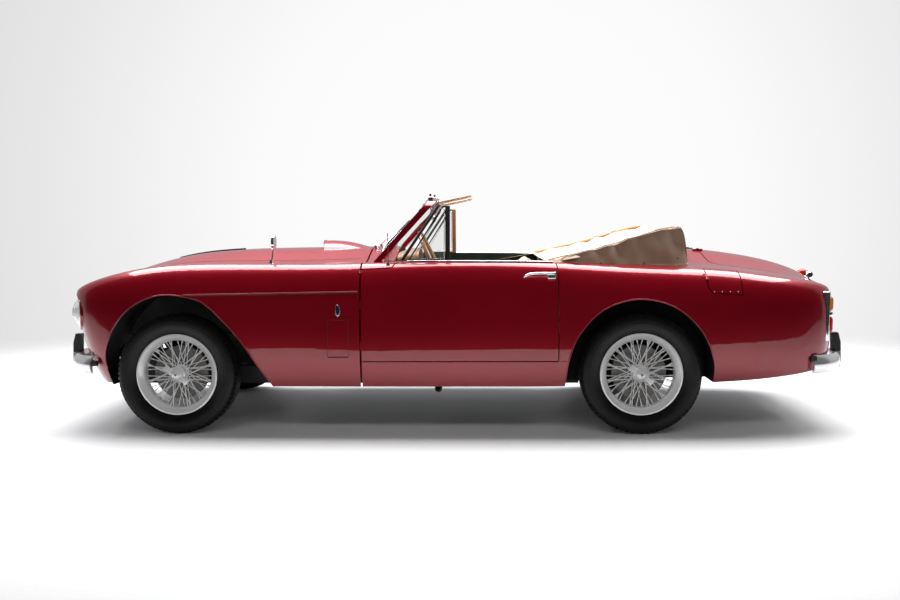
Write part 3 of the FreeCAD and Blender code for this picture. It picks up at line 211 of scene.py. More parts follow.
def disc_mesh(bm, radius, depth, matrix, segments=32, taper=1.0):
    """Adds a short round piece whose axis is the matrix's Z."""
    bmesh.ops.create_cone(
        bm, cap_ends=True, segments=segments, radius1=radius, radius2=radius * taper,
        depth=depth, matrix=matrix,
    )


def towards(spot, direction, axis=(0, 0, 1)):
    """A matrix that puts an axis along a direction at a place."""
    turn = Vector(axis).rotation_difference(Vector(direction).normalized()).to_matrix().to_4x4()
    return Matrix.Translation(Vector(spot)) @ turn


# Materials


class Graph:
    """A node tree, with short ways to add nodes that feed each other."""

    def __init__(self, owner):
        owner.use_nodes = True
        self.tree = owner.node_tree
        self.coords = self.add("ShaderNodeTexCoord")

    def add(self, kind, **settings):
        item = self.tree.nodes.new(kind)
        for key, value in settings.items():
            setattr(item, key, value)
        return item

    def join(self, source, target):
        self.tree.links.new(source, target)

    def put(self, value, socket):
        if isinstance(value, (int, float, tuple)):
            socket.default_value = value
        elif value is not None:
            self.join(value, socket)

    def fill(self, item, **values):
        """Sets a node's inputs by their names, to a number or to another node's output."""
        for key, value in values.items():
            self.put(value, item.inputs[key.replace("_", " ")])
        return item

    def math(self, operation, *values):
        item = self.add("ShaderNodeMath", operation=operation)
        for socket, value in zip(item.inputs, values):
            self.put(value, socket)
        return item.outputs["Value"]

    def vector(self, operation, *values):
        item = self.add("ShaderNodeVectorMath", operation=operation)
        for socket, value in zip(item.inputs, values):
            self.put(value, socket)
        return item.outputs["Vector" if operation == "SUBTRACT" else "Value"]

    def split(self, source):
        item = self.fill(self.add("ShaderNodeSeparateXYZ"), Vector=source)
        return item.outputs["X"], item.outputs["Y"], item.outputs["Z"]

    def eased(self, value, start, end, first, last):
        """Goes smoothly from one value to another while its source goes from start to end."""
        item = self.add("ShaderNodeMapRange", interpolation_type="SMOOTHSTEP")
        self.fill(item, Value=value, From_Min=start, From_Max=end, To_Min=first, To_Max=last)
        return item.outputs["Result"]

    def ray(self, kind):
        return self.add("ShaderNodeLightPath").outputs[f"Is {kind} Ray"]

    def blend(self, factor, first, second, target):
        """Mixes two whole shaders and sends the result to a socket."""
        item = self.add("ShaderNodeMixShader")
        for source, socket in zip((factor, first, second), item.inputs):
            self.join(source, socket)
        self.join(item.outputs["Shader"], target)


class Shader(Graph):
    """A material with its main shader."""

    def __init__(self, name):
        self.material = bpy.data.materials.new(name)
        super().__init__(self.material)
        self.main = self.tree.nodes["Principled BSDF"]

    def set(self, **values):
        self.fill(self.main, **values)

    def place(self):
        return self.coords.outputs["Object"]

    def noise(self, scale, detail=3.0):
        item = self.add("ShaderNodeTexNoise")
        return self.fill(item, Vector=self.place(), Scale=scale, Detail=detail, Roughness=0.5).outputs["Fac"]

    def ramp(self, source, dark, light, start=0.3, end=0.7):
        """Goes from one colour to another while its source goes from start to end."""
        item = self.fill(self.add("ShaderNodeValToRGB"), Fac=source)
        for element, spot, colour in zip(item.color_ramp.elements, (start, end), (dark, light)):
            element.position = spot
            element.color = (*colour, 1.0)
        return item.outputs["Color"]

    def between(self, value, low, high):
        """1 where a value lies between two numbers, and 0 elsewhere."""
        return self.both(self.math("GREATER_THAN", value, low), self.math("LESS_THAN", value, high))

    def both(self, first, *factors):
        for factor in factors:
            first = self.math("MULTIPLY", first, factor)
        return first

    def spread(self, source, low, high):
        item = self.add("ShaderNodeMapRange")
        return self.fill(item, Value=source, To_Min=low, To_Max=high).outputs["Result"]

    def mixed(self, factor, first, second):
        item = self.add("ShaderNodeMix", data_type="RGBA")
        self.join(factor, item.inputs[0])
        for socket, value in ((item.inputs[6], first), (item.inputs[7], second)):
            self.put((*value, 1.0) if isinstance(value, tuple) else value, socket)
        return item.outputs[2]

    def bump(self, height, strength, distance):
        item = self.fill(self.add("ShaderNodeBump"), Strength=strength, Distance=distance, Height=height)
        self.join(item.outputs["Normal"], self.main.inputs["Normal"])


PAINT_METAL = 0.30


def paint_base(name):
    """A deep red under a clear coat, and the roughness below the coat."""
    s = Shader(name)
    red = s.ramp(s.noise(3.0), (0.265, 0.0020, 0.0110), (0.295, 0.0026, 0.0130))
    rough = s.spread(s.noise(6.0), 0.30, 0.33)
    s.set(Coat_Roughness=0.008, Coat_IOR=1.5, Specular_IOR_Level=0.15)
    return s, red, rough


def paint_shader(name):
    s, red, rough = paint_base(name)
    s.set(Base_Color=red, Roughness=rough, Coat_Weight=1.0, Metallic=PAINT_METAL)
    return s.material


def lined_paint(s, red, rough, inner, lining):
    """Paint outside, and a dull lining where the inner factor is 1."""
    outside = s.math("SUBTRACT", 1.0, inner)
    s.set(
        Base_Color=s.mixed(inner, red, lining), Coat_Weight=outside,
        Metallic=s.math("MULTIPLY", outside, PAINT_METAL),
        Roughness=s.math("ADD", rough, s.math("MULTIPLY", inner, 0.35)),
    )
    return s.material


def door_paint(name):
    """Paint whose inward faces are a leather card under a dark waist rail."""
    s, red, rough = paint_base(name)
    x, y, z = s.split(s.place())
    nx, ny, nz = s.split(s.coords.outputs["Normal"])
    inner = s.math("LESS_THAN", s.math("MULTIPLY", y, ny), -0.12)
    hide = s.ramp(s.noise(5.0), (0.30, 0.155, 0.07), (0.36, 0.20, 0.095))
    rail = s.ramp(s.noise(20.0), (0.010, 0.016, 0.012), (0.018, 0.026, 0.020))
    rail_z = 0.865
    return lined_paint(s, red, rough, inner, s.mixed(s.math("GREATER_THAN", z, rail_z), hide, rail))


def body_paint(name, axle, wall_reach, cabin=False):
    """Paint whose inward faces and wheel wells are black, with carpet in the cabin.

    The well's inner wall is black within the square root of wall_reach from the axle.
    """
    s, red, rough = paint_base(name)
    x, y, z = s.split(s.place())
    normal = s.coords.outputs["Normal"]
    nx, ny, nz = s.split(normal)
    reach = s.vector("SUBTRACT", s.place(), (axle, 0.0, 0.5))
    inner = s.math("LESS_THAN", s.vector("DOT_PRODUCT", reach, normal), -0.02)
    under = s.both(s.math("LESS_THAN", nz, -0.9), s.math("LESS_THAN", z, 0.5))
    ahead = s.math("SUBTRACT", x, axle)
    above = s.math("SUBTRACT", z, 0.33)
    away = s.math("ADD", s.math("MULTIPLY", ahead, ahead), s.math("MULTIPLY", above, above))
    facing = s.math("ADD", s.math("MULTIPLY", ahead, nx), s.math("MULTIPLY", above, nz))
    side = s.math("ABSOLUTE", y)
    wall = s.both(s.math("LESS_THAN", away, wall_reach), s.between(side, 0.45, 0.70))
    roof = s.both(
        s.math("LESS_THAN", away, 0.32), s.math("LESS_THAN", facing, -0.12),
        s.math("GREATER_THAN", side, 0.45),
    )
    well = s.math("MAXIMUM", wall, roof)
    inner = s.math("MAXIMUM", s.math("MAXIMUM", inner, under), well)
    lining = s.ramp(s.noise(30.0), (0.006, 0.006, 0.006), (0.012, 0.011, 0.011))
    if cabin:
        room = s.both(
            s.between(x, -0.56, 1.255), s.between(z, 0.334, 0.97), s.math("LESS_THAN", side, 0.775),
            s.math("SUBTRACT", 1.0, well),
        )
        wool = s.ramp(s.noise(160.0, 5.0), (0.13, 0.045, 0.02), (0.20, 0.08, 0.04))
        lining = s.mixed(room, lining, wool)
    return lined_paint(s, red, rough, inner, lining)


def plain_base(name, dark, light, scale, rough, metal=0.0, grain=None, coat=0.0, shine=0.5):
    """Two close colours with uneven roughness, and perhaps a grain of (scale, strength, depth)."""
    s = Shader(name)
    s.set(Base_Color=s.ramp(s.noise(scale), dark, light), Roughness=s.spread(s.noise(scale * 4), *rough))
    s.set(Metallic=metal, Specular_IOR_Level=shine)
    if coat:
        s.set(Coat_Weight=coat, Coat_Roughness=0.05)
    if grain:
        s.bump(s.noise(grain[0], 4.0), grain[1], grain[2])
    return s


def plain_shader(*settings, **more):
    return plain_base(*settings, **more).material


def leather_shader(name, dark, light):
    s = plain_base(name, dark, light, 6.0, (0.38, 0.52))
    cells = s.fill(s.add("ShaderNodeTexVoronoi", feature="DISTANCE_TO_EDGE"), Scale=420.0, Vector=s.place())
    s.bump(cells.outputs["Distance"], 0.25, 0.0008)
    return s.material


def canvas_shader(name, dark, light, pale=None):
    """Woven duck: crossed threads over a slow change of tone, and a painted highlight that makes the top
    paler between the two ridges.
    """
    s = Shader(name)
    tone = s.ramp(s.noise(5.0, 4.0), dark, light, 0.3, 0.72)
    # pale is a painted highlight: the cover's top between the ridges is made paler where the overhead light
    # falls.
    if pale:
        x, y, z = s.split(s.place())
        ridge = s.math("MULTIPLY_ADD", x, -0.159, 0.743)
        tone = s.mixed(s.math("LESS_THAN", s.math("ABSOLUTE", y), ridge), tone, pale)
    s.set(Base_Color=tone, Roughness=0.86, Sheen_Weight=0.2, Sheen_Roughness=0.5)
    threads = []
    for direction in ("X", "Y"):
        item = s.add("ShaderNodeTexWave", wave_type="BANDS", bands_direction=direction)
        threads.append(s.fill(item, Vector=s.place(), Scale=260.0, Distortion=0.6).outputs["Fac"])
    s.bump(s.math("ADD", *threads), 0.22, 0.0008)
    return s.material


def pane_shader(name):
    """Flat glass so thin that light passes straight through, with a weak reflection."""
    s = Shader(name)
    s.set(
        Base_Color=s.ramp(s.noise(2.0), (0.50, 0.60, 0.56), (0.54, 0.64, 0.60), 0.2, 0.8),
        Roughness=s.spread(s.noise(30.0), 0.01, 0.03), Alpha=0.13,
    )
    return s.material


def lens_shader(name, colour, rough, weight):
    s = Shader(name)
    s.set(
        Base_Color=s.ramp(s.noise(2.0), colour, tuple(c * 0.97 for c in colour), 0.2, 0.8),
        Roughness=s.spread(s.noise(30.0), rough, rough + 0.02), Transmission_Weight=weight, IOR=1.45,
    )
    return s.material


def bumper_shader():
    """Chrome, with black rubber on the two upright horns above the blade."""
    s = Shader("bumper_chrome")
    x, y, z = s.split(s.place())
    horn = s.both(s.between(s.math("ABSOLUTE", y), 0.428, 0.472), s.math("GREATER_THAN", z, 0.415))
    bright = s.ramp(s.noise(8.0), (0.84, 0.84, 0.85), (0.90, 0.90, 0.91))
    s.set(
        Base_Color=s.mixed(horn, bright, (0.008, 0.008, 0.008)),
        Metallic=s.math("MULTIPLY", s.math("SUBTRACT", 1.0, horn), 0.62),
        Roughness=s.math("ADD", s.spread(s.noise(30.0), 0.07, 0.12), s.math("MULTIPLY", horn, 0.4)),
    )
    return s.material


def grey(value):
    return (value, value, value)


PAINT = paint_shader("paint_red")
CLIP_PAINT = body_paint("paint_red_clip", FRONT_AXLE, 0.155)
SHELL_PAINT = body_paint("paint_red_shell", REAR_AXLE, 0.25, cabin=True)
DOOR_PAINT = door_paint("paint_red_door")
BUMPER = bumper_shader()
CHROME = plain_shader("chrome", (0.84, 0.84, 0.85), (0.90, 0.90, 0.91), 8.0, (0.06, 0.11), 0.92)
WHEEL = plain_shader("wheel_silver", (0.92, 0.92, 0.93), grey(0.96), 20.0, (0.25, 0.28), 0.25)
STEEL = plain_shader("steel_satin", (0.38, 0.37, 0.36), (0.52, 0.51, 0.49), 12.0, (0.25, 0.45), 1.0)
BLACK = plain_shader("black_satin", (0.010, 0.010, 0.011), grey(0.022), 20.0, (0.35, 0.55))
CHASSIS = plain_shader(
    "chassis_black", (0.012, 0.011, 0.010), (0.030, 0.028, 0.026), 9.0, (0.45, 0.7),
    grain=(90.0, 0.2, 0.001),
)
IRON = plain_shader(
    "cast_iron", (0.07, 0.065, 0.06), (0.13, 0.12, 0.11), 14.0, (0.5, 0.75), 0.7, (160.0, 0.3, 0.001)
)
DRUM = plain_shader(
    "drum_finned", (0.13, 0.12, 0.11), (0.20, 0.19, 0.175), 30.0, (0.35, 0.55), 0.9, (160.0, 0.3, 0.001)
)
RUBBER = plain_shader(
    "tyre_rubber", grey(0.0045), (0.0085, 0.0085, 0.0080), 16.0, (0.38, 0.52),
    grain=(300.0, 0.12, 0.0006), shine=0.28,
)
SEAL = plain_shader("seal_rubber", grey(0.008), grey(0.016), 30.0, (0.5, 0.65))
WOOD = plain_shader("rim_wood", (0.25, 0.10, 0.03), (0.45, 0.20, 0.06), 20.0, (0.18, 0.28), coat=0.6)
DIAL = plain_shader("dial_black", (0.010, 0.010, 0.012), (0.018, 0.018, 0.020), 25.0, (0.2, 0.3), coat=1.0)
ENAMEL = plain_shader("badge_enamel", (0.010, 0.016, 0.05), (0.016, 0.024, 0.07), 40.0, (0.1, 0.2), coat=1.0)
CREAM = leather_shader("leather_cream", (0.50, 0.40, 0.27), (0.60, 0.50, 0.36))
TAN = leather_shader("leather_tan", (0.28, 0.14, 0.06), (0.36, 0.20, 0.09))
VISOR = leather_shader("visor_hide", (0.62, 0.40, 0.27), (0.74, 0.52, 0.38))
# The cover's pale third colour is a painted highlight on its top between the ridges.
CANVAS = canvas_shader("cover_canvas", (0.30, 0.205, 0.145), (0.40, 0.285, 0.205), (0.74, 0.66, 0.56))
LINING = canvas_shader("cover_lining", (0.42, 0.22, 0.09), (0.52, 0.30, 0.14))
SCREEN = pane_shader("screen_glass")
LENS = lens_shader("clear_lens", (0.98, 0.98, 0.97), 0.05, 0.95)
RED_LENS = lens_shader("red_lens", (0.62, 0.02, 0.012), 0.08, 0.55)
AMBER = lens_shader("amber_lens", (0.85, 0.25, 0.03), 0.08, 0.55)

DRESSED = (
    (CLIP_PAINT, "front_clip"),
    (SHELL_PAINT, "body_shell"),
    (DOOR_PAINT, "door_left door_right"),
    (PAINT, "boot_lid fuel_flap windscreen_frame"),
    (CHASSIS, "chassis_frame front_suspension knuckle_left knuckle_right rear_axle"),
    (IRON, "engine_block"),
    (BUMPER, "front_bumper rear_bumper"),
    (CHROME, "grille wing_mirror cabin_levers door_handle_left door_handle_right"),
    (SCREEN, "windscreen_glass"),
    (BLACK, "steering_column"),
    (TAN, "dashboard"),
    (STEEL, "exhaust"),
    (DRUM, "brake_drum_front_left brake_drum_front_right brake_drum_rear_left brake_drum_rear_right"),
)
for material, names in DRESSED:
    for name in names.split():
        for slot in NODES[name].material_slots:
            slot.material = material


# Finding the skin

TREES = {}


def cast(node, start, direction):
    """Where a ray meets a CAD node's surface, and the way that the surface faces there."""
    if node not in TREES:
        mesh = NODES[node].data
        TREES[node] = BVHTree.FromPolygons(
            [vert.co for vert in mesh.vertices], [tuple(face.vertices) for face in mesh.polygons]
        )
    return TREES[node].ray_cast(Vector(start), Vector(direction))[:2]


def on_side(node, x, z, lift=0.0, side=-1):
    spot, normal = cast(node, (x, side * 2.0, z), (0, -side, 0))
    return spot + normal * lift


def on_top(node, x, y, lift=0.0):
    spot, normal = cast(node, (x, y, 3.0), (0, 0, -1))
    return spot + normal * lift


# Wheels


def tyre_mesh():
    """A ribbed tyre with sipes in both shoulders."""
    half = [
        (0.2076, 0.0555), (0.2225, 0.0572), (0.2290, 0.0640), (0.2420, 0.0735), (0.2600, 0.0802),
        (0.2760, 0.0820), (0.2830, 0.0818), (0.2850, 0.0800), (0.2900, 0.0806), (0.3020, 0.0778),
        (0.3115, 0.0722), (0.3180, 0.0665), (0.3222, 0.0605), (0.3248, 0.0540), (0.3262, 0.0460),
        (0.3212, 0.0450), (0.3212, 0.0415), (0.3270, 0.0405), (0.3276, 0.0235), (0.3222, 0.0228),
        (0.3222, 0.0192), (0.3279, 0.0185), (0.3280, 0.0020), (0.3226, 0.0016),
    ]
    steps = 144
    sipe_depth = 0.0035
    bm = lathe(half + [(r, -y) for r, y in reversed(half)], steps)
    chosen = []
    for face in bm.faces:
        middle = face.calc_center_median()
        turn = math.floor(math.atan2(middle.z, middle.x) / TAU * steps + 0.5 * steps)
        if 0.3100 < math.hypot(middle.x, middle.z) < 0.3268 and abs(middle.y) > 0.047 and turn % 2 == 0:
            chosen.append(face)
    for face in bmesh.ops.extrude_discrete_faces(bm, faces=chosen)["faces"]:
        bmesh.ops.translate(bm, vec=-face.normal * sipe_depth, verts=face.verts)
    return bm


def rim_parts():
    """The rim, its hub and its spokes with their nipples, with the outer side towards -Y."""
    rim = lathe([
        (0.2210, -0.0640), (0.2222, -0.0615), (0.2210, -0.0590), (0.2075, -0.0560), (0.2055, -0.0300),
        (0.1925, -0.0180), (0.1925, 0.0180), (0.2055, 0.0300), (0.2075, 0.0560), (0.2210, 0.0590),
        (0.2222, 0.0615), (0.2210, 0.0640), (0.2040, 0.0610), (0.2015, 0.0320), (0.1850, 0.0205),
        (0.1835, -0.0205), (0.1850, -0.0380), (0.1900, -0.0450), (0.2050, -0.0590), (0.2130, -0.0650),
    ], 120)
    hub = lathe([
        (0.0170, 0.0236), (0.0450, 0.0236), (0.0455, 0.0150), (0.0370, 0.0060), (0.0360, -0.0300),
        (0.0420, -0.0360), (0.0430, -0.0460), (0.0360, -0.0520), (0.0335, -0.0530), (0.0330, -0.0620),
        (0.0345, -0.0660), (0.0300, -0.0730), (0.0170, -0.0810), (0.0060, -0.0835), (0.0060, -0.0280),
        (0.0170, -0.0275),
    ], 64)
    well_r = 0.1895
    spokes = []
    nipples = []
    rows = ((12, 0.0345, -0.0330, -0.0090, 40.0), (18, 0.0425, 0.0190, 0.0080, 30.0))
    for count, hub_r, hub_y, rim_y, lean in rows:
        for k in range(count):
            for sign in (1, -1):
                start = 360.0 / count * (k + 0.25 * sign)
                a = math.radians(start)
                b = math.radians(start + lean * sign)
                low = Vector((hub_r * math.cos(a), hub_y + 0.0015 * sign, hub_r * math.sin(a)))
                high = Vector((well_r * math.cos(b), rim_y + 0.0032 * sign, well_r * math.sin(b)))
                spokes.append((low, high))
                nipples.append((high, high + (low - high).normalized() * 0.024))
    return rim, hub, spokes, nipples


def nut_mesh():
    """The knock-off nut's two swept ears, which stand on the hub's dome."""
    bm = bmesh.new()
    for sign in (1, -1):
        for vert in bmesh.ops.create_grid(bm, x_segments=7, y_segments=3, size=0.5)["verts"]:
            t = vert.co.x + 0.5
            half = 0.0175 - 0.006 * math.sin(math.pi * t) + 0.004 * t
            if t > 0.95:
                half *= 0.75
            drop = -0.0690 - 0.004 * math.sin(math.pi * t * 0.5)
            vert.co = Vector((sign * (0.018 + 0.057 * t), drop, sign * (vert.co.y * 2 * half + 0.006 * t)))
    thicken(bm, 0.009)
    outwards(bm)
    bevel(bm, [edge for edge in bm.edges if edge.calc_face_angle(0) > 0.9], 0.0022)
    bm.transform(Matrix.Rotation(math.radians(42), 4, "Y"))
    return bm


def joined_mesh(name, meshes):
    """Several meshes in one, each keeping its smooth faces."""
    bm = bmesh.new()
    for mesh in meshes:
        bm.from_mesh(mesh)
        bpy.data.meshes.remove(mesh)
    result = bpy.data.meshes.new(name)
    bm.to_mesh(result)
    bm.free()
    return result


def build_wheels():
    rim, hub, spokes, nipples = rim_parts()
    wheel = joined_mesh("wire_wheel", [
        as_mesh(rim, 40), as_mesh(hub), as_mesh(nut_mesh(), 50),
        wire_mesh("spokes", spokes, 0.0023, 2), wire_mesh("nipples", nipples, 0.0036, 1),
    ])
    tyre = as_mesh(tyre_mesh(), 30)
    for end, x in (("front", FRONT_AXLE), ("rear", REAR_AXLE)):
        for side, word in SIDES:
            corner = f"{end}_{word}"
            spot = Matrix.Translation((x, side * TRACK_HALF, AXLE_Z))
            if side > 0:
                spot = spot @ Matrix.Rotation(math.pi, 4, "Z")
            for kind, mesh, material, finish in (
                ("tyre", tyre, RUBBER, "tyre"), ("wire_wheel", wheel, WHEEL, "chrome"),
            ):
                own = mesh.copy()
                own.transform(spot)
                piece = place(f"{kind}_shown_{corner}", own, material, corner + "_wheel")
                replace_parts(piece, f"{kind}_{corner}")


build_wheels()


# Trim on the skin

FRONT_ARCH = [
    (-0.372, 0.300), (-0.399, 0.413), (-0.340, 0.575), (-0.223, 0.702), (-0.064, 0.763),
    (0.140, 0.736), (0.262, 0.640), (0.369, 0.519), (0.450, 0.392), (0.505, 0.310),
]
REAR_ARCH = [
    (-0.408, 0.290), (-0.391, 0.418), (-0.336, 0.555), (-0.210, 0.683), (-0.029, 0.736),
    (0.158, 0.695), (0.300, 0.573), (0.370, 0.415), (0.380, 0.290),
]
ARCH_MIDDLE_Z = 0.45


def arch_lip(node, points, axle, side, body, name):
    """The rolled edge round a wheel opening."""
    flat = smooth_path([(x, 0.0, z) for x, z in points], 10)
    middle = Vector((sum(p.x for p in flat) / len(flat), 0, ARCH_MIDDLE_Z))
    path = []
    for point in flat:
        out = (point - middle).normalized() * 0.005
        spot, normal = cast(node, (axle + point.x + out.x, side * 2.0, point.z + out.z), (0, -side, 0))
        if spot is not None and abs(spot.y) > 0.6:
            path.append(spot + Vector((0, -side * 0.001, 0)) - Vector((out.x, 0, out.z)) * 0.6)
    trim(name, [path], 0.0042, PAINT, body)


def door_trim(side, word):
    """The bright strip along a door's top, and the dark window slot inside it."""
    top = []
    for x in along(-0.235, 0.548, 40):
        y = 0.7085 + 0.0205 * math.sin(math.pi * min(1.0, max(0.0, (x + 0.262) / 0.84)))
        top.append(on_top("door_" + word, x, side * y, 0.003))
    trim("door_strip_" + word, [top], 0.0062, CHROME, word + "_door")
    gap = [point + Vector((0, -side * 0.0125, -0.001)) for point in top]
    trim("window_slot_" + word, [gap], 0.0045, SEAL, word + "_door")


def wing_trim(side, word):
    """The swage line behind the front wheel and the outline of the small hatch."""
    swage = []
    for x in along(-1.43, -0.492, 60):
        swage.append(on_side("front_clip", x, 0.766 + 0.016 * (x + 1.43) / 0.94, 0.0, side))
    trim("wing_swage_" + word, [swage], 0.0046, PAINT, "clip")
    shadow = [spot + Vector((0, side * 0.0012, -0.0062)) for spot in swage]
    trim("swage_shadow_" + word, [shadow], 0.0026, SEAL, "clip", 1)

    corners = [(-0.650, 0.633), (-0.541, 0.633), (-0.545, 0.434), (-0.654, 0.434)]
    groove = [
        on_side("front_clip", xa + (xb - xa) * t, za + (zb - za) * t, 0.0004, side)
        for (xa, za), (xb, zb) in zip(corners, corners[1:] + corners[:1]) for t in (0, 0.25, 0.5, 0.75)
    ]
    trim("hatch_groove_" + word, [groove], 0.0016, SEAL, "clip", 1, True)
    low = [on_side("front_clip", x, 0.4305, 0.0006, side) for x in along(-0.654, -0.545, 5)]
    trim("hatch_catch_light_" + word, [low], 0.0016, PAINT, "clip", 1)


for side, word in SIDES:
    arch_lip("front_clip", FRONT_ARCH, FRONT_AXLE, side, "clip", "arch_lip_front_" + word)
    arch_lip("body_shell", REAR_ARCH, REAR_AXLE, side, "chassis", "arch_lip_rear_" + word)
    door_trim(side, word)
    wing_trim(side, word)
    line = [on_side("body_shell", x, 0.4075, 0.0, side) for x in along(0.588, 0.632, 4)]
    trim("sill_seam_" + word, [line], 0.0016, SEAL, "chassis", 1)


def shield(name, side, half, tall, depth, lift, material):
    """An oval plate on the wing, flatter at its ends and without any mark."""
    outline = []
    for a in angles(24):
        up = math.sin(a)
        width = half if abs(up) < 0.9 else half * 0.9
        outline.append((width * math.cos(a), 0, tall * math.copysign(abs(up) ** 0.7, up)))
    bm = bmesh.new()
    extrude(bm, outline, (0, side * depth, 0))
    bevel(bm, bm.edges[:], depth * 0.35)
    bm.transform(Matrix.Translation(on_side("front_clip", -0.5975, 0.684, lift, side)))
    settle(name, bm, material, 50, "clip")


for side, word in SIDES:
    shield("wing_badge_" + word, side, 0.0135, 0.031, 0.004, 0.0002, CHROME)
    shield("badge_field_" + word, side, 0.0090, 0.025, 0.0052, 0.0003, ENAMEL)


def scoop():
    """The low intake on the bonnet, open towards the nose, with a black sheet inside its mouth as painted
    shade.
    """
    start, length, half = -0.790, 0.280, 0.165
    bm = bmesh.new()
    grid = []
    for t in along(0.0, 1.0, 29):
        row = []
        for s in along(-1.0, 1.0, 27):
            x = start + length * t
            y = half * s * (1.0 - 0.12 * t)
            swell = (1.0 - s * s) ** 0.8 * max(0.0, math.cos(math.pi / 2 * t ** 1.4)) ** 1.1
            z = on_top("front_clip", x, y).z - 0.004 + 0.045 * swell
            row.append(bm.verts.new((x + 0.020 * s * s, y, z)))
        grid.append(row)
    skin(bm, grid)
    upwards(bm)
    lip = [vert.co.copy() for vert in grid[0]]
    thicken(bm, 0.003)
    settle("bonnet_scoop", bm, PAINT, 60, "clip")
    trim("scoop_lip", [lip], 0.0035, PAINT, "clip")
    # A black sheet just inside the opening: painted shade for the scoop's dark inside.
    mouth = bmesh.new()
    inset = 0.012
    top = [mouth.verts.new(point + Vector((inset, 0, -0.001))) for point in lip]
    low = [mouth.verts.new(on_top("front_clip", point.x + inset, point.y, -0.002)) for point in lip]
    skin(mouth, [top, low])
    thicken(mouth, 0.002)
    settle("scoop_mouth_shade", mouth, SEAL, 60, "clip")


def bonnet_seam(side, word):
    seam = []
    for x in along(-1.72, -0.52, 70):
        seam.append(on_top("front_clip", x, side * (0.33 + 0.06 * math.sin((x + 1.75) * 1.2)), -0.0004))
    trim("bonnet_seam_" + word, [seam], 0.0015, SEAL, "clip", 1)


def arch_liner(side, word):
    """The inner wall and roof of a front wheel opening, which hide the engine bay."""
    grown = 1.012
    rim = []
    for point in smooth_path([(x, 0.0, z) for x, z in FRONT_ARCH], 8):
        if point.z > 0.505:
            rim.append((FRONT_AXLE + point.x * grown, ARCH_MIDDLE_Z + (point.z - ARCH_MIDDLE_Z) * grown))
    bm = bmesh.new()
    outer = [bm.verts.new((x, side * 0.515, z)) for x, z in rim]
    inner = [bm.verts.new((x, side * 0.428, z)) for x, z in rim]
    skin(bm, [inner, outer])
    bm.faces.new(inner)
    outwards(bm)
    thicken(bm, 0.003)
    settle("arch_liner_" + word, bm, CHASSIS, 40, "clip")


def grille_shade_backing():
    """A dark sheet behind the grille, bowed like the nose: it stands for the radiator's dark core, and is
    painted shade for the hollow inside the nose.
    """
    bm = bmesh.new()
    bmesh.ops.create_grid(bm, x_segments=12, y_segments=6, size=0.5)
    for vert in bm.verts:
        y, z = vert.co.x * 0.90, 0.525 + vert.co.y * 0.24
        vert.co = Vector((-2.015 + 0.12 * y * y, y, z))
    thicken(bm, 0.003)
    settle("grille_shade_backing", bm, BLACK, 40, "clip")


def aerial():
    base = on_top("body_shell", -0.334, -0.735)
    bm = bmesh.new()
    disc_mesh(bm, 0.013, 0.012, towards(base + Vector((0, 0, 0.004)), (0, 0, 1)), 24, 0.7)
    disc_mesh(bm, 0.006, 0.030, towards(base + Vector((0, 0, 0.020)), (0, 0, 1)), 20, 0.6)
    settle("aerial_base", bm, CHROME, 40, "chassis")
    mast = [base + Vector((0, 0, 0.02)), base + Vector((-0.002, 0, 0.166))]
    trim("aerial", [mast], 0.0022, BLACK, "chassis")


scoop()
for side, word in SIDES:
    bonnet_seam(side, word)
for side, word in SIDES:
    arch_liner(side, word)
rib = [on_top("front_clip", x, 0.02, 0.0035) for x in along(-1.70, -1.29, 24)]
trim("bonnet_rib", [rib], 0.0045, SEAL, "clip")
grille_shade_backing()

bm = bmesh.new()
for x in (1.392, 1.434, 1.476, 1.519):
    disc_mesh(bm, 0.0035, 0.003, towards(on_side("fuel_flap", x, 0.776), (0, -0.8, 0.6)), 12, 0.6)
settle("flap_studs", bm, CHROME, 40, "flap")
aerial()

for side, word in SIDES:
    jack = Vector((-0.07, side * 0.72, 0.262))
    trim("jack_stay_" + word, [[jack, jack + Vector((0, 0, 0.02))]], 0.006, CHASSIS, "chassis")

for end, body, x, z in (("front", "clip", -1.966, 0.382), ("rear", "chassis", 1.950, 0.405)):
    bm = bmesh.new()
    for side in (-1, 1):
        disc_mesh(bm, 0.017, 0.030, towards((x, side * 0.694, z), (1, 0, 0)), 24, 0.9)
    settle("bumper_grommets_" + end, bm, SEAL, 40, body)


# Windscreen


def leaned(x, z, side, out=0.0):
    """A place on a quarter light, which leans in like the windscreen pillar."""
    up = z - 0.936
    return Vector((x, side * (0.702 - 0.1564 * up + out), 0.936 + 0.9877 * up))


def glass_front(y, z, lift=0.0):
    """A place on the front of the windscreen."""
    for node in ("windscreen_frame", "windscreen_glass"):
        spot, normal = cast(node, (-3.0, y, z), (1, 0, 0))
        if spot is not None:
            return spot + normal * lift
    return None


def glass_edge(inset, low):
    """The windscreen's outline seen from the front, as (y, z) from foot to foot."""
    half = 0.632 - inset
    top = 1.250 - inset * 0.95
    left = [
        (-0.668 + inset, low), (-half, top - 0.040), (-half + 0.010, top - 0.012),
        (-half + 0.038, top + 0.006), (-0.6 * half, top + 0.028), (-0.3 * half, top + 0.039),
    ]
    whole = left + [(0, top + 0.042)] + [(-y, z) for y, z in reversed(left)]
    (foot_y, foot_z), (bend_y, bend_z) = whole[:2]
    pillar = [(foot_y + (bend_y - foot_y) * t, foot_z + (bend_z - foot_z) * t) for t in (0, 0.25, 0.5, 0.75)]
    arc = [(p.y, p.z) for p in smooth_path([(0, y, z) for y, z in whole[1:-1]], 8)]
    return pillar + arc + [(-y, z) for y, z in reversed(pillar)]


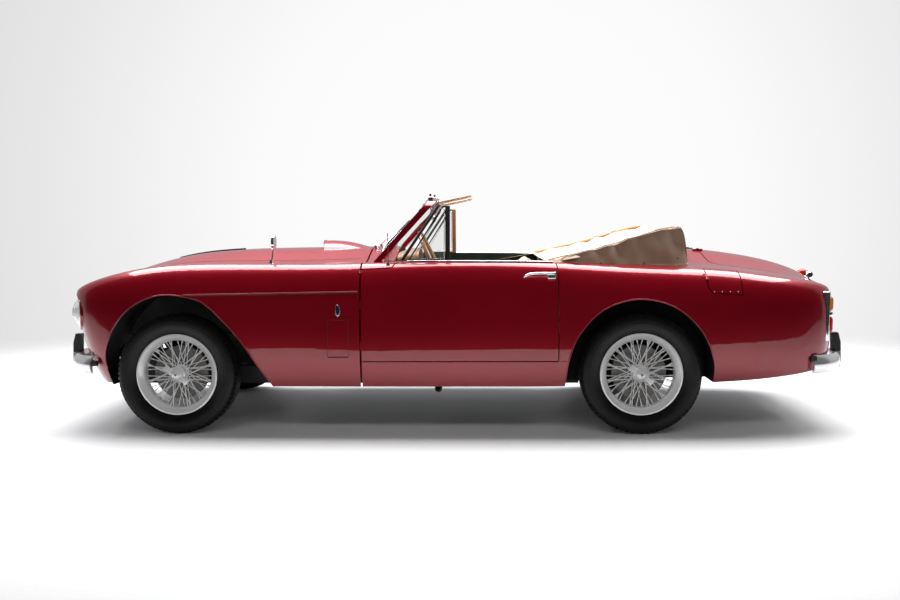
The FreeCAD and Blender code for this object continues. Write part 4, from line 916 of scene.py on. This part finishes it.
def wiper(name, y, tip_y):
    park = cast("body_shell", (-0.47 + 0.35 * y * y, y, 3.0), (0, 0, -1))[0]
    bm = bmesh.new()
    disc_mesh(bm, 0.012, 0.022, towards(park + Vector((0, 0, 0.008)), (-0.2, 0, 1)), 24, 0.75)
    settle(name + "_spindle", bm, CHROME, 40, "chassis")
    tip = glass_front(tip_y, 1.085, 0.010)
    arm = [park + Vector((0, 0, 0.018)), park.lerp(tip, 0.5) + Vector((-0.022, 0, 0.004)), tip]
    trim(name + "_arm", [smooth_path(arm, 6)], 0.0024, CHROME, "chassis")
    steps = (-0.13, -0.065, 0.0, 0.065, 0.13)
    blade = [glass_front(tip_y + d * 0.5, 1.085 + d * 0.55, 0.006) for d in steps]
    trim(name + "_blade", [blade], 0.0034, SEAL, "chassis")


def inside_mirror():
    bm = bmesh.new()
    bmesh.ops.create_uvsphere(bm, u_segments=32, v_segments=20, radius=1.0)
    for vert in bm.verts:
        x, y, z = vert.co
        vert.co = Vector((-0.112 - (0.022 if x > 0 else 0.004) * x, 0.090 * y, 1.177 + 0.027 * z))
    outwards(bm)
    settle("inside_mirror", bm, CHROME, 50, "chassis")
    stem = smooth_path([(-0.124, 0, 1.190), (-0.128, 0, 1.225), (-0.126, 0, 1.272)], 6)
    trim("mirror_stem", [stem], 0.0042, CHROME, "chassis")


def header_catches():
    """Three catches on the windscreen's header, which hold the hood when it is up."""
    bm = bmesh.new()
    for y in (-0.52, 0.0, 0.52):
        low = Vector((-0.128, y - 0.030, 1.262 + 0.014 * (1 - (y / 0.6) ** 2)))
        box_mesh(bm, low, low + Vector((0.030, 0.060, 0.024)), 0.006, 3)
        disc_mesh(bm, 0.008, 0.024, towards(low + Vector((0.012, 0.030, 0.028)), (0, 0, 1)), 20, 0.7)
    settle("header_catches", bm, CHROME, 40, "chassis")


def sun_visor(side, word):
    """A thin pad, thicker in its middle, on a bright rod."""
    bm = bmesh.new()
    box_mesh(bm, (-0.5, -0.5, -0.5), (0.5, 0.5, 0.5))
    bmesh.ops.subdivide_edges(bm, edges=bm.edges[:], cuts=6, use_grid_fill=True)
    for vert in bm.verts:
        u, v, w = vert.co
        crown = (1 - (2 * u) ** 4) * (1 - (2 * v) ** 6)
        height = 1.258 + 0.038 * (u + 0.5) + w * (0.004 + 0.010 * crown)
        vert.co = Vector((0.015 + 0.190 * u, side * (0.335 + 0.34 * v), height))
    outwards(bm)
    visor = settle("sun_visor_" + word, bm, VISOR, 60, "chassis")
    finer = visor.modifiers.new("smooth", "SUBSURF")
    finer.levels = finer.render_levels = 1
    rod = [(-0.095, side * 0.165, 1.264), (-0.095, side * 0.505, 1.262)]
    stay = [(-0.128, side * 0.335, 1.268), (-0.095, side * 0.335, 1.264)]
    trim("visor_rod_" + word, [rod, stay], 0.0038, CHROME, "chassis")


for side, word in SIDES:
    rear = [leaned(x, z, side, 0.004) for x, z in ((-0.262, 0.944), (-0.164, 1.092), (-0.066, 1.240))]
    trim("pillar_seal_" + word, [rear], 0.0085, SEAL, "chassis", 3)

for name, inset, radius, material in (
    ("screen_edge_outer", 0.009, 0.0034, SEAL), ("screen_bright", 0.028, 0.0022, CHROME),
    ("screen_seal", 0.036, 0.0050, SEAL),
):
    path = [glass_front(y, z, 0.0006) for y, z in glass_edge(inset, 1.005)]
    trim(name, [[point for point in path if point is not None]], radius, material, "chassis")

foot = []
for y in along(-0.60, 0.60, 41):
    spot, normal = cast("windscreen_frame", (-3.0, y, 0.995 + 0.012 * (1 - (y / 0.6) ** 2)), (1, 0, 0))
    if spot is not None:
        foot.append(spot + normal * 0.0006)
trim("screen_foot_bright", [foot], 0.0042, CHROME, "chassis")

for side, word in SIDES:
    wiper(f"wiper_{word}_0", side * 0.16, side * -0.04)
    wiper(f"wiper_{word}_1", side * 0.44, side * 0.23)
inside_mirror()
header_catches()
for side, word in SIDES:
    sun_visor(side, word)


# Quarter lights


def quarter_light(side, word):
    """A door's fixed corner window, with its frame, glass, bright edge and rear post."""
    body = word + "_door"
    corners = [(-0.226, 0.944), (-0.020, 0.944), (-0.020, 1.236), (-0.042, 1.236)]
    outline = [leaned(x, z, side) for x, z in corners]
    ring = trim("quarter_frame_" + word, [outline], 0.0068, SEAL, body, 3, True)
    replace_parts(ring, "quarter_light_" + word)
    inner = [(-0.205, 0.953), (-0.034, 0.953), (-0.034, 1.222), (-0.045, 1.222)]
    bright = [leaned(x, z, side, 0.005) for x, z in inner]
    trim("quarter_bright_" + word, [bright], 0.0026, CHROME, body, 2, True)
    bm = bmesh.new()
    bm.faces.new([bm.verts.new(leaned(x, z, side, 0.002)) for x, z in inner])
    thicken(bm, 0.004)
    outwards(bm)
    settle("quarter_glass_" + word, bm, SCREEN, 30, body)
    for kind, middle, material in (("post", 0.0035, SEAL), ("lining", -0.0040, TAN)):
        bm = bmesh.new()
        bmesh.ops.create_cube(bm, size=1.0)
        for vert in bm.verts:
            u, v, w = vert.co
            vert.co = leaned(-0.016 + u * 0.026, 1.090 + w * 0.300, side, middle + v * 0.0085)
        outwards(bm)
        bevel(bm, bm.edges[:], 0.0025)
        settle(f"quarter_{kind}_{word}", bm, material, 40, body)


for side, word in SIDES:
    quarter_light(side, word)


# Cabin


def bake(item):
    """Puts what an object's modifiers make into its mesh."""
    made = drawn(item)
    item.modifiers.clear()
    old = item.data
    made.materials.clear()
    made.materials.append(old.materials[0])
    item.data = made
    bpy.data.meshes.remove(old)


def blow_up(pad, cap):
    """Swells a pad by a short cloth simulation, moving no place further than cap."""
    rest = [vert.co.copy() for vert in pad.data.vertices]
    cloth = pad.modifiers.new("stuffing", "CLOTH").settings
    cloth.use_pressure = True
    cloth.uniform_pressure_force = 4.0
    cloth.effector_weights.gravity = 0.0
    cloth.quality = 4
    for step in range(1, 21):
        bpy.context.scene.frame_set(step)
    bake(pad)
    bpy.context.scene.frame_set(1)
    for vert, start in zip(pad.data.vertices, rest):
        move = vert.co - start
        if move.length > cap:
            vert.co = start + move.normalized() * cap


def swollen(name, bm, material, voxel, cap, gather):
    """A closed pad: remeshed, blown up a little by a cloth simulation, then sewn."""
    mesh = bpy.data.meshes.new(name)
    bm.to_mesh(mesh)
    bm.free()
    pad = place(name, mesh, material, "chassis")
    cells = pad.modifiers.new("cells", "REMESH")
    cells.mode = "VOXEL"
    cells.voxel_size = voxel
    bake(pad)
    blow_up(pad, cap)
    finer = pad.modifiers.new("finer", "SUBSURF")
    finer.levels = finer.render_levels = 1
    bake(pad)
    moves = [gather(vert.co, vert.normal.copy()) for vert in pad.data.vertices]
    for vert, move in zip(pad.data.vertices, moves):
        vert.co += move
    for face in pad.data.polygons:
        face.use_smooth = True
    return pad


def slab_pad(points, width, middle_y):
    """A pad's side outline, carried across and rounded at its edges."""
    bm = bmesh.new()
    extrude(bm, [(x, middle_y - width / 2, z) for x, z in points], (0, width, 0))
    bevel(bm, bm.edges[:], 0.022, 4)
    return bm


def fluted(middle_y, half, pitch, facing):
    """Sewn channels that run along a pad's middle, on the faces that point one way."""
    way = Vector(facing).normalized()
    depth, channel_half, hem_half, least_turn = 0.0085, 0.0055, 0.006, 0.35

    def gather(spot, normal):
        across = spot.y - middle_y
        turn = normal.dot(way)
        if abs(across) > half or turn < least_turn:
            return Vector((0, 0, 0))
        nearest = round(across / pitch) * pitch
        deep = math.exp(-(((across - nearest) / channel_half) ** 2))
        edge = math.exp(-(((half - abs(across)) / hem_half) ** 2))
        return normal * -depth * max(deep, edge) * min(1.0, (turn - least_turn) / 0.3)

    return gather


UP = (0, 0, 1)
AHEAD = (-1, 0, 0.2)
SEAT_SIDE = [
    (-0.054, 0.408), (-0.062, 0.520), (-0.040, 0.560), (0.330, 0.532), (0.405, 0.470), (0.400, 0.408),
]
SEAT_BACK = [
    (0.362, 0.480), (0.352, 0.545), (0.424, 0.905), (0.450, 0.934), (0.478, 0.930), (0.492, 0.895),
    (0.448, 0.500),
]
BENCH_SEAT = [(0.664, 0.490), (0.655, 0.590), (0.672, 0.618), (0.930, 0.600), (0.940, 0.490)]
BENCH_BACK = [(0.958, 0.520), (0.950, 0.600), (1.005, 0.822), (1.030, 0.838), (1.050, 0.826), (1.058, 0.520)]


def front_seat(side, word):
    middle = side * 0.3625
    width, voxel, cap = 0.500, 0.012, 0.022
    for kind, outline, half, pitch, facing in (
        ("cushion", SEAT_SIDE, 0.185, 0.053, UP), ("back", SEAT_BACK, 0.175, 0.050, AHEAD),
    ):
        sewn = fluted(middle, half, pitch, facing)
        swollen(f"seat_{kind}_{word}", slab_pad(outline, width, middle), CREAM, voxel, cap, sewn)
    bm = bmesh.new()
    box_mesh(bm, (-0.045, middle - 0.225, 0.336), (0.400, middle + 0.225, 0.418), 0.012, 3)
    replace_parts(settle("seat_base_" + word, bm, TAN, 40, "chassis"), "front_seats")


def bench():
    width, voxel, half, pitch = 1.030, 0.014, 0.44, 0.08
    cushion, back = slab_pad(BENCH_SEAT, width, 0), slab_pad(BENCH_BACK, width, 0)
    swollen("bench_cushion", cushion, CREAM, voxel, 0.014, fluted(0, half, pitch, UP))
    back = swollen("bench_back", back, CREAM, voxel, 0.010, fluted(0, half, pitch, AHEAD))
    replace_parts(back, "rear_seat")


def hand_wheel():
    """The steering wheel: a wooden rim, a boss and three flat spokes."""
    hub = Vector((-0.1, -0.34, 0.901))
    slope = math.radians(25)
    column = Vector((-math.cos(slope), 0, -math.sin(slope)))
    seat = towards(hub, column, (0, 1, 0))
    grip = 0.0122
    bm = lathe([(0.205 + grip * math.cos(a), grip * math.sin(a)) for a in angles(12)], 96)
    bm.transform(seat)
    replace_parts(settle("hand_wheel_rim", bm, WOOD, 70, "hand_wheel"), "steering_wheel")
    bm = lathe([
        (0.0, -0.008), (0.022, -0.007), (0.033, 0.001), (0.035, 0.018), (0.024, 0.030), (0.020, 0.040),
        (0.0, 0.040),
    ], 48)
    bm.transform(seat)
    settle("hand_wheel_boss", bm, BLACK, 40, "hand_wheel")
    bm = bmesh.new()
    for turn in (90, 210, 330):
        out = Matrix.Rotation(math.radians(turn), 3, column) @ Vector((0, 1, 0)).cross(column)
        wide = column.cross(out).normalized()
        rows = []
        for t in along(0.0, 1.0, 9):
            spot = hub + out * (0.028 + 0.170 * t) + column * (0.020 * (1 - t))
            half, thick = 0.0125 - 0.0045 * t, 0.0016
            corners = ((-half, -thick), (half, -thick), (half, thick), (-half, thick))
            rows.append([bm.verts.new(spot + wide * w + column * d) for w, d in corners])
        skin(bm, rows, True)
    outwards(bm)
    settle("hand_wheel_spokes", bm, CHROME, 40, "hand_wheel")


def dial_hood():
    """The cowl over the dials, which swells towards the driver."""
    bm = bmesh.new()
    rows = []
    for t in along(0.0, 1.0, 13):
        row = []
        for a in along(0.0, math.pi, 17):
            rise = (0.040 + 0.022 * math.sin(math.pi * min(t, 0.75) / 1.5)) * abs(math.sin(a)) ** 0.7
            row.append(bm.verts.new((-0.300 + 0.118 * t, -0.34 - 0.215 * math.cos(a), 0.938 + rise)))
        rows.append(row)
    skin(bm, rows)
    outwards(bm)
    thicken(bm, 0.006)
    settle("dial_hood", bm, TAN, 40, "chassis")


def dials_and_knobs():
    """Round dials with a bright ring and one hand each, and a row of knobs below."""
    face = Vector((0.983, 0, -0.184))
    upright = Vector((0.184, 0, 0.983))
    across = Vector((0, 1, 0))
    faces = bmesh.new()
    bezels = []
    hands = []
    for y, z, radius in (
        (-0.425, 0.872, 0.052), (-0.255, 0.872, 0.052), (-0.085, 0.868, 0.027), (-0.010, 0.868, 0.027),
        (0.065, 0.868, 0.027), (-0.340, 0.900, 0.024),
    ):
        spot = Vector((-0.2585 - (0.90 - z) * 0.1875, y, z))
        disc_mesh(faces, radius, 0.004, towards(spot + face * 0.002, face), 40, 0.98)
        bezels.append([
            spot + face * 0.004 + (across * math.cos(a) + upright * math.sin(a)) * radius for a in angles(24)
        ])
        root = spot + face * 0.0055
        hands.append([root, root + across * (0.5 * radius) + upright * (0.6 * radius)])
    settle("dial_faces", faces, DIAL, 40, "chassis")
    trim("dial_bezels", bezels, 0.0028, CHROME, "chassis", 2, True)
    trim("dial_hands", hands, 0.0011, CHROME, "chassis", 1)
    bm = bmesh.new()
    for y in (-0.13, -0.07, -0.01, 0.05, 0.11):
        disc_mesh(bm, 0.010, 0.020, towards(Vector((-0.2755, y, 0.812)) + face * 0.010, face), 20, 0.8)
    settle("dash_knobs", bm, CHROME, 40, "chassis")


def door_fittings(side, word):
    """A pull and a window winder on the door's card."""
    card = side * (0.8245 - 0.064)
    body = word + "_door"

    def inwards(x, z, depth=0.0):
        return (x, card - side * depth, z)

    bm = bmesh.new()
    box_mesh(bm, (0.18, card - 0.004, 0.690), (0.22, card + 0.004, 0.730), 0.003, 2)
    disc_mesh(bm, 0.014, 0.014, towards(inwards(0.20, 0.71, 0.010), (0, -side, 0)), 24, 0.8)
    ends = inwards(-0.05, 0.80), inwards(0.14, 0.80)
    pull = [ends[0], inwards(-0.03, 0.815, 0.024), inwards(0.12, 0.815, 0.024), ends[1]]
    trim("door_pull_" + word, [smooth_path(pull, 6)], 0.006, CHROME, body)
    settle("winder_boss_" + word, bm, CHROME, 40, body)
    crank = [inwards(0.20, 0.71, 0.016), inwards(0.26, 0.675, 0.020)]
    knob = [inwards(0.26, 0.675, 0.020), inwards(0.26, 0.675, 0.042)]
    trim("winder_arm_" + word, [crank, knob], 0.005, CHROME, body)


def pedals():
    places = (-0.42, -0.34, -0.25)
    bm = bmesh.new()
    for y in places:
        box_mesh(bm, (-0.470, y - 0.024, 0.420), (-0.458, y + 0.024, 0.500), 0.004, 2)
    settle("pedal_pads", bm, SEAL, 40, "chassis")
    arms = [smooth_path([(-0.470, y, 0.46), (-0.500, y, 0.62), (-0.525, y, 0.70)], 5) for y in places]
    trim("pedal_arms", arms, 0.007, BLACK, "chassis")


for side, word in SIDES:
    front_seat(side, word)
bench()
hand_wheel()
dial_hood()
dials_and_knobs()
trim("dash_roll", [[(-0.2740, y, 0.9405) for y in along(-0.60, 0.60, 25)]], 0.011, TAN, "chassis", 4)
for side, word in SIDES:
    door_fittings(side, word)
pedals()


# Hood cover

# Each row is x, half the width, the height along the side ridge and the height in the middle.
COVER_ROWS = [
    (0.527, 0.692, 0.934, 0.931), (0.601, 0.678, 0.952, 0.936), (0.700, 0.664, 0.975, 0.941),
    (0.811, 0.644, 1.002, 0.953), (0.930, 0.626, 1.036, 0.977), (1.051, 0.608, 1.073, 1.006),
    (1.151, 0.592, 1.099, 1.052), (1.231, 0.578, 1.111, 1.086), (1.262, 0.572, 1.105, 1.088),
    (1.283, 0.567, 1.062, 1.050), (1.296, 0.563, 0.985, 0.985), (1.300, 0.560, 0.925, 0.930),
]


def cover_point(row, s):
    """A place across the cover: s runs from the left edge, -1, to the right edge, 1."""
    x, half, side_z, middle_z = row
    a = abs(s)
    foot = 0.908 + 0.020 * max(0.0, 1 - (x - 0.53) / 0.3)
    if a > 0.80:
        t = (1 - a) / 0.20
        y = half - 0.012 * t ** 1.5 - 0.010 * math.sin(math.pi * t)
        z = foot + (side_z - foot) * (math.sin(t * math.pi / 2)) ** 0.9
    else:
        t = a / 0.80
        y = (half - 0.022) * t
        ridge = math.exp(-(((t - 0.93) / 0.10) ** 2))
        z = middle_z + (side_z - middle_z) * t ** 2.2 + 0.004 * ridge
    return Vector((x, math.copysign(y, s) if a > 1e-9 else 0.0, z))


def fold(x, s, spot):
    """Slack in the cloth: long pleats along the sides and shallow ripples on top."""
    a = abs(s)
    wave = 0.0055 * math.sin(34.0 * x + 9.0 * s + 2.2 * math.sin(7.0 * x)) * (0.35 + a)
    wave += 0.0040 * math.sin(61.0 * x - 17.0 * a + 1.3) * (a if a > 0.5 else 0.4)
    wave += 0.0060 * math.sin(21.0 * (spot.z + 0.8 * x)) * (1.0 if a > 0.8 else 0.3)
    return wave


def cover_grid(bm, across, lengthwise):
    """The cover's vertices, row by row, pulled flat along all its edges."""
    grid = []
    for i in range(lengthwise + 1):
        t = i / lengthwise * (len(COVER_ROWS) - 1)
        k = min(int(t), len(COVER_ROWS) - 2)
        row = [eased(*four, t - k) for four in zip(*near(COVER_ROWS, k))]
        line = []
        for j in range(across + 1):
            s = 2.0 * j / across - 1.0
            spot = cover_point(row, s)
            hold = min(1.0, (1 - abs(s)) / 0.06, i / 5.0, (lengthwise - i) / 5.0)
            lean = min(1.0, max(0.0, (abs(s) - 0.70) / 0.18))
            out = Vector((0, math.copysign(lean, s), 1.0 - lean)).normalized()
            line.append(bm.verts.new(spot + out * fold(row[0], s, spot) * hold))
        grid.append(line)
    return grid


def hood_cover():
    """One sheet over the folded hood, with its bound edges and two piped seams."""
    across, lengthwise = 96, 120
    bm = bmesh.new()
    grid = cover_grid(bm, across, lengthwise)
    skin(bm, grid)
    upwards(bm)
    area = sum(face.calc_area() for face in bm.faces)
    edges = [
        [vert.co.copy() for vert in line]
        for line in ([row[0] for row in grid], grid[-1], [row[-1] for row in grid], grid[0])
    ]
    seams = [[row[j].co + Vector((0, 0, 0.0012)) for row in grid[4:-3]] for j in (10, across - 10)]
    thicken(bm, 0.0025)
    cover = settle("cover_sheet", bm, CANVAS, 60, "chassis")
    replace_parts(cover, "hood_cover")
    binding = trim("cover_binding", edges, 0.0042, CANVAS, "chassis")
    piping = trim("cover_piping", seams, 0.0030, CANVAS, "chassis")


def cover_snaps():
    bm = bmesh.new()
    for side in (-1, 1):
        for x, y, z in (
            (0.560, 0.688, 0.922), (0.811, 0.646, 0.922), (1.051, 0.610, 0.922), (1.240, 0.582, 0.945),
            (1.262, 0.577, 0.985),
        ):
            disc_mesh(bm, 0.0065, 0.006, towards((x, side * (y + 0.006), z), (0, side, 0.1)), 20, 0.7)
    settle("cover_snaps", bm, CHROME, 40, "chassis")


def cover_roll(side, word):
    """The padded roll under the cover's side ridge, thicker on the far side."""
    hem = [cover_point(row, side * 0.76) + Vector((0.0, 0.0, 0.003)) for row in COVER_ROWS[:8]]
    radius = 0.0085 if side > 0 else 0.0045
    trim("cover_roll_" + word, [smooth_path(hem, 8)], radius, LINING, "chassis", 4)


def door_handle(side, word):
    """A curved pull handle whose rear end stands in a small lock."""
    body = word + "_door"
    bar = smooth_path([
        (0.392, side * 0.795, 0.853), (0.394, side * 0.803, 0.858), (0.404, side * 0.812, 0.866),
        (0.430, side * 0.8165, 0.874), (0.480, side * 0.8170, 0.8765), (0.552, side * 0.8150, 0.8755),
    ], 8)
    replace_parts(trim("door_grip_" + word, [bar], 0.0062, CHROME, body, 3), "door_handle_" + word)
    bm = bmesh.new()
    low, high = sorted((side * 0.792, side * 0.8195))
    box_mesh(bm, (0.514, low, 0.847), (0.558, high, 0.8695), 0.005, 3)
    box_mesh(bm, (0.546, low, 0.862), (0.558, high, 0.8830), 0.004, 3)
    settle("door_lock_" + word, bm, CHROME, 40, body)


hood_cover()
cover_snaps()
for side, word in SIDES:
    cover_roll(side, word)
    door_handle(side, word)


# Lamps


def turned(spot, degrees):
    """A matrix that turns about Z at a place."""
    return Matrix.Translation(spot) @ Matrix.Rotation(math.radians(degrees), 4, "Z")


def headlamp(side, word):
    """A round lamp that looks a little outwards, as the wing does."""
    seat = turned((-2.080, side * 0.590, 0.657), -24 * side)
    bezel = [
        (0.0945, 0.026), (0.0945, 0.004), (0.0920, -0.004), (0.0860, -0.006), (0.0800, -0.002),
        (0.0790, 0.004), (0.0860, 0.012), (0.0880, 0.026),
    ]
    bowl = [
        (0.0790, 0.004), (0.0700, 0.026), (0.0500, 0.048), (0.0250, 0.060), (0.0100, 0.064), (0.0100, 0.067),
        (0.0270, 0.063), (0.0530, 0.051), (0.0740, 0.028), (0.0825, 0.006),
    ]
    front = []
    for r in along(0.0, 0.0800, 13):
        front.append((max(r, 0.0002), -0.042 + 0.042 * (r / 0.08) ** 2.2))
    glass = front + [(r, a + 0.003) for r, a in reversed(front)]
    surround = [
        (0.0925, 0.002), (0.0945, -0.003), (0.0985, 0.000), (0.1005, 0.008), (0.0995, 0.030),
        (0.0935, 0.030),
    ]
    bulb = bmesh.new()
    bmesh.ops.create_uvsphere(bulb, u_segments=20, v_segments=14, radius=0.012)
    bulb.transform(Matrix.Translation((0.040, 0, 0)) @ Matrix.Diagonal((1.5, 1.0, 1.0, 1.0)))
    for kind, bm, material in (
        ("bezel", lathe(bezel, 96, "X"), CHROME), ("bowl", lathe(bowl, 72, "X"), CHROME),
        ("glass", lathe(glass, 72, "X"), LENS), ("bulb", bulb, LENS),
        ("surround", lathe(surround, 96, "X"), PAINT),
    ):
        bm.transform(seat)
        piece = settle(f"lamp_{kind}_{word}", bm, material, 50, "clip")
        if kind == "bezel":
            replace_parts(piece, "headlamps")


def tail_lamp(side, word):
    """An upright plinth with a red lens, a bright band and an amber lens."""
    seat = turned((2.048, side * 0.616, 0), 22 * side)
    bm = bmesh.new()
    box_mesh(bm, (-0.030, -0.0305, 0.4915), (0.013, 0.0305, 0.7635), 0.010, 4)
    bm.transform(seat)
    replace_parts(settle("tail_plinth_" + word, bm, CHROME, 40, "chassis"), "tail_lamps")
    for kind, low, high, material in (
        ("amber", 0.655, 0.735, AMBER), ("clear", 0.630, 0.652, CHROME), ("red", 0.535, 0.627, RED_LENS),
    ):
        bm = bmesh.new()
        rings = []
        for t in along(0.0, 1.0, 13):
            bulge = max(0.0, 1 - (2 * t - 1) ** 6) ** 0.5
            deep, wide, height = 0.003 + 0.015 * bulge, 0.018 + 0.006 * bulge, low + (high - low) * t
            rings.append([
                bm.verts.new((0.010 + deep * math.cos(a), wide * math.sin(a), height))
                for a in along(-math.pi / 2, math.pi / 2, 13)
            ])
        skin(bm, rings, True)
        outwards(bm)
        bm.transform(seat)
        settle(f"tail_{kind}_{word}", bm, material, 50, "chassis")


def lid_lamp():
    """A small barrel across the boot lid's rear edge, with a red lens that looks forward over it."""
    bm = bmesh.new()
    box_mesh(bm, (2.060, -0.050, 0.798), (2.148, 0.050, 0.816), 0.007, 4)
    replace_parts(settle("lid_lamp_foot", bm, BLACK, 40, "lid"), "lid_lamp")
    barrel = [(0.014, 0.052), (0.022, 0.042), (0.0255, 0.020)]
    barrel = [(0.0003, 0.054)] + barrel + [(r, -a) for r, a in reversed(barrel)] + [(0.0003, -0.054)]
    plug = [(0.0003, -0.056), (0.012, -0.0560), (0.014, -0.0545), (0.014, -0.050), (0.0003, -0.050)]
    dome = [
        (0.0003, -0.046), (0.010, -0.041), (0.023, -0.018), (0.028, 0.0), (0.028, 0.012), (0.0003, 0.012),
    ]
    for kind, outline, steps, axis, spot, material in (
        ("shell", barrel, 48, "Y", (2.148, 0, 0.820), CHROME),
        ("plug", plug, 32, "Y", (2.148, 0, 0.820), BLACK),
        ("lens", dome, 40, "X", (2.115, -0.010, 0.827), RED_LENS),
    ):
        bm = lathe(outline, steps, axis)
        bm.transform(Matrix.Translation(spot))
        settle("lid_lamp_" + kind, bm, material, 60, "lid")


for side, word in SIDES:
    headlamp(side, word)
for side, word in SIDES:
    tail_lamp(side, word)
lid_lamp()


# Studio


def studio_floor():
    """A pale floor that fades out for the camera, and ends in front of the car for all other rays."""
    s = Shader("studio_floor")
    x, y, z = s.split(s.place())
    camera_ray = s.ray("Camera")
    tone = s.ramp(s.noise(0.35), (0.80, 0.80, 0.81), grey(0.84))
    tone = s.mixed(s.ray("Diffuse"), tone, grey(0.21))
    s.set(Base_Color=tone, Roughness=s.spread(s.noise(9.0), 0.38, 0.48), Specular_IOR_Level=0.25)
    ahead = s.math("POWER", s.math("DIVIDE", x, 5.2), 2.0)
    aside = s.math("POWER", s.math("DIVIDE", s.math("SUBTRACT", y, 0.6), 3.6), 2.0)
    reach = s.math("SQRT", s.math("ADD", ahead, aside))
    seen = s.math("MULTIPLY", s.eased(reach, 0.55, 1.25, 0.0, 1.0), camera_ray)
    front_edge = -2.22
    ends = s.math("LESS_THAN", s.math("ADD", y, s.math("MULTIPLY", s.noise(0.9), 0.5)), front_edge)
    hidden = s.math("ADD", seen, s.math("MULTIPLY", ends, s.math("SUBTRACT", 1.0, camera_ray)))
    clear = s.add("ShaderNodeBsdfTransparent").outputs["BSDF"]
    s.blend(hidden, s.main.outputs["BSDF"], clear, s.tree.nodes["Material Output"].inputs["Surface"])
    bm = bmesh.new()
    bmesh.ops.create_grid(bm, x_segments=4, y_segments=4, size=9.0)
    settle("floor", bm, s.material)


def studio_world():
    """Soft light from behind the car, and a white backdrop for the camera."""
    world = bpy.data.worlds.new("studio")
    bpy.context.scene.world = world
    w = Graph(world)
    direction = w.coords.outputs["Generated"]
    x, y, z = w.split(direction)
    dimmed = w.math("MULTIPLY_ADD", w.ray("Glossy"), -0.50, 1.0)
    strength = w.math("MULTIPLY", w.eased(y, -0.12, 0.08, 0.022, 0.80), dimmed)
    soft = w.fill(w.tree.nodes["Background"], Color=(0.95, 0.97, 1.0, 1.0), Strength=strength)
    from_middle = w.vector("DISTANCE", direction, (0.02, 0.995, 0.02))
    glow = w.eased(from_middle, 0.18, 0.62, 0.975, 0.72)
    white = w.fill(w.add("ShaderNodeBackground"), Color=(1.0, 1.0, 1.0, 1.0), Strength=glow)
    seen = w.math("MAXIMUM", w.ray("Camera"), w.ray("Transmission"))
    target = w.tree.nodes["World Output"].inputs["Surface"]
    w.blend(seen, soft.outputs["Background"], white.outputs["Background"], target)


def area_light(name, spot, target, size, power, mirrored=False):
    light = bpy.data.lights.new(name, "AREA")
    light.shape = "RECTANGLE"
    light.size, light.size_y = size
    light.energy = power
    item = bpy.data.objects.new(name, light)
    bpy.context.scene.collection.objects.link(item)
    item.location = spot
    item.rotation_euler = (Vector(target) - Vector(spot)).to_track_quat("-Z", "Y").to_euler()
    item.visible_camera = False
    item.visible_glossy = mirrored


def studio_camera():
    """The photograph's camera, solved from its wheels and level lines."""
    lens = bpy.data.cameras.new("camera")
    lens.sensor_width = 36.0
    lens.lens = 37.19
    camera = bpy.data.objects.new("camera", lens)
    bpy.context.scene.collection.objects.link(camera)
    camera.matrix_world = (
        Matrix.Translation((0.149, -5.7109, 1.1388)) @ Matrix.Rotation(0.030574, 4, "Z")
        @ Matrix.Rotation(math.pi / 2 - 0.081806, 4, "X") @ Matrix.Rotation(-0.00534, 4, "Z")
    )
    bpy.context.scene.camera = camera


studio_floor()
studio_world()
area_light("overhead", (0.0, 0.9, 3.9), (0.0, 0.25, 0.0), (8.0, 3.4), 700.0, mirrored=True)
area_light("front_floor", (0.0, -4.2, 3.4), (0.0, -2.6, 0.0), (6.0, 0.8), 60.0)
area_light("front_low", (0.0, -3.4, 0.9), (0.0, -0.8, 0.35), (5.0, 0.5), 14.0)
studio_camera()
bpy.context.scene.view_settings.view_transform = "Standard"
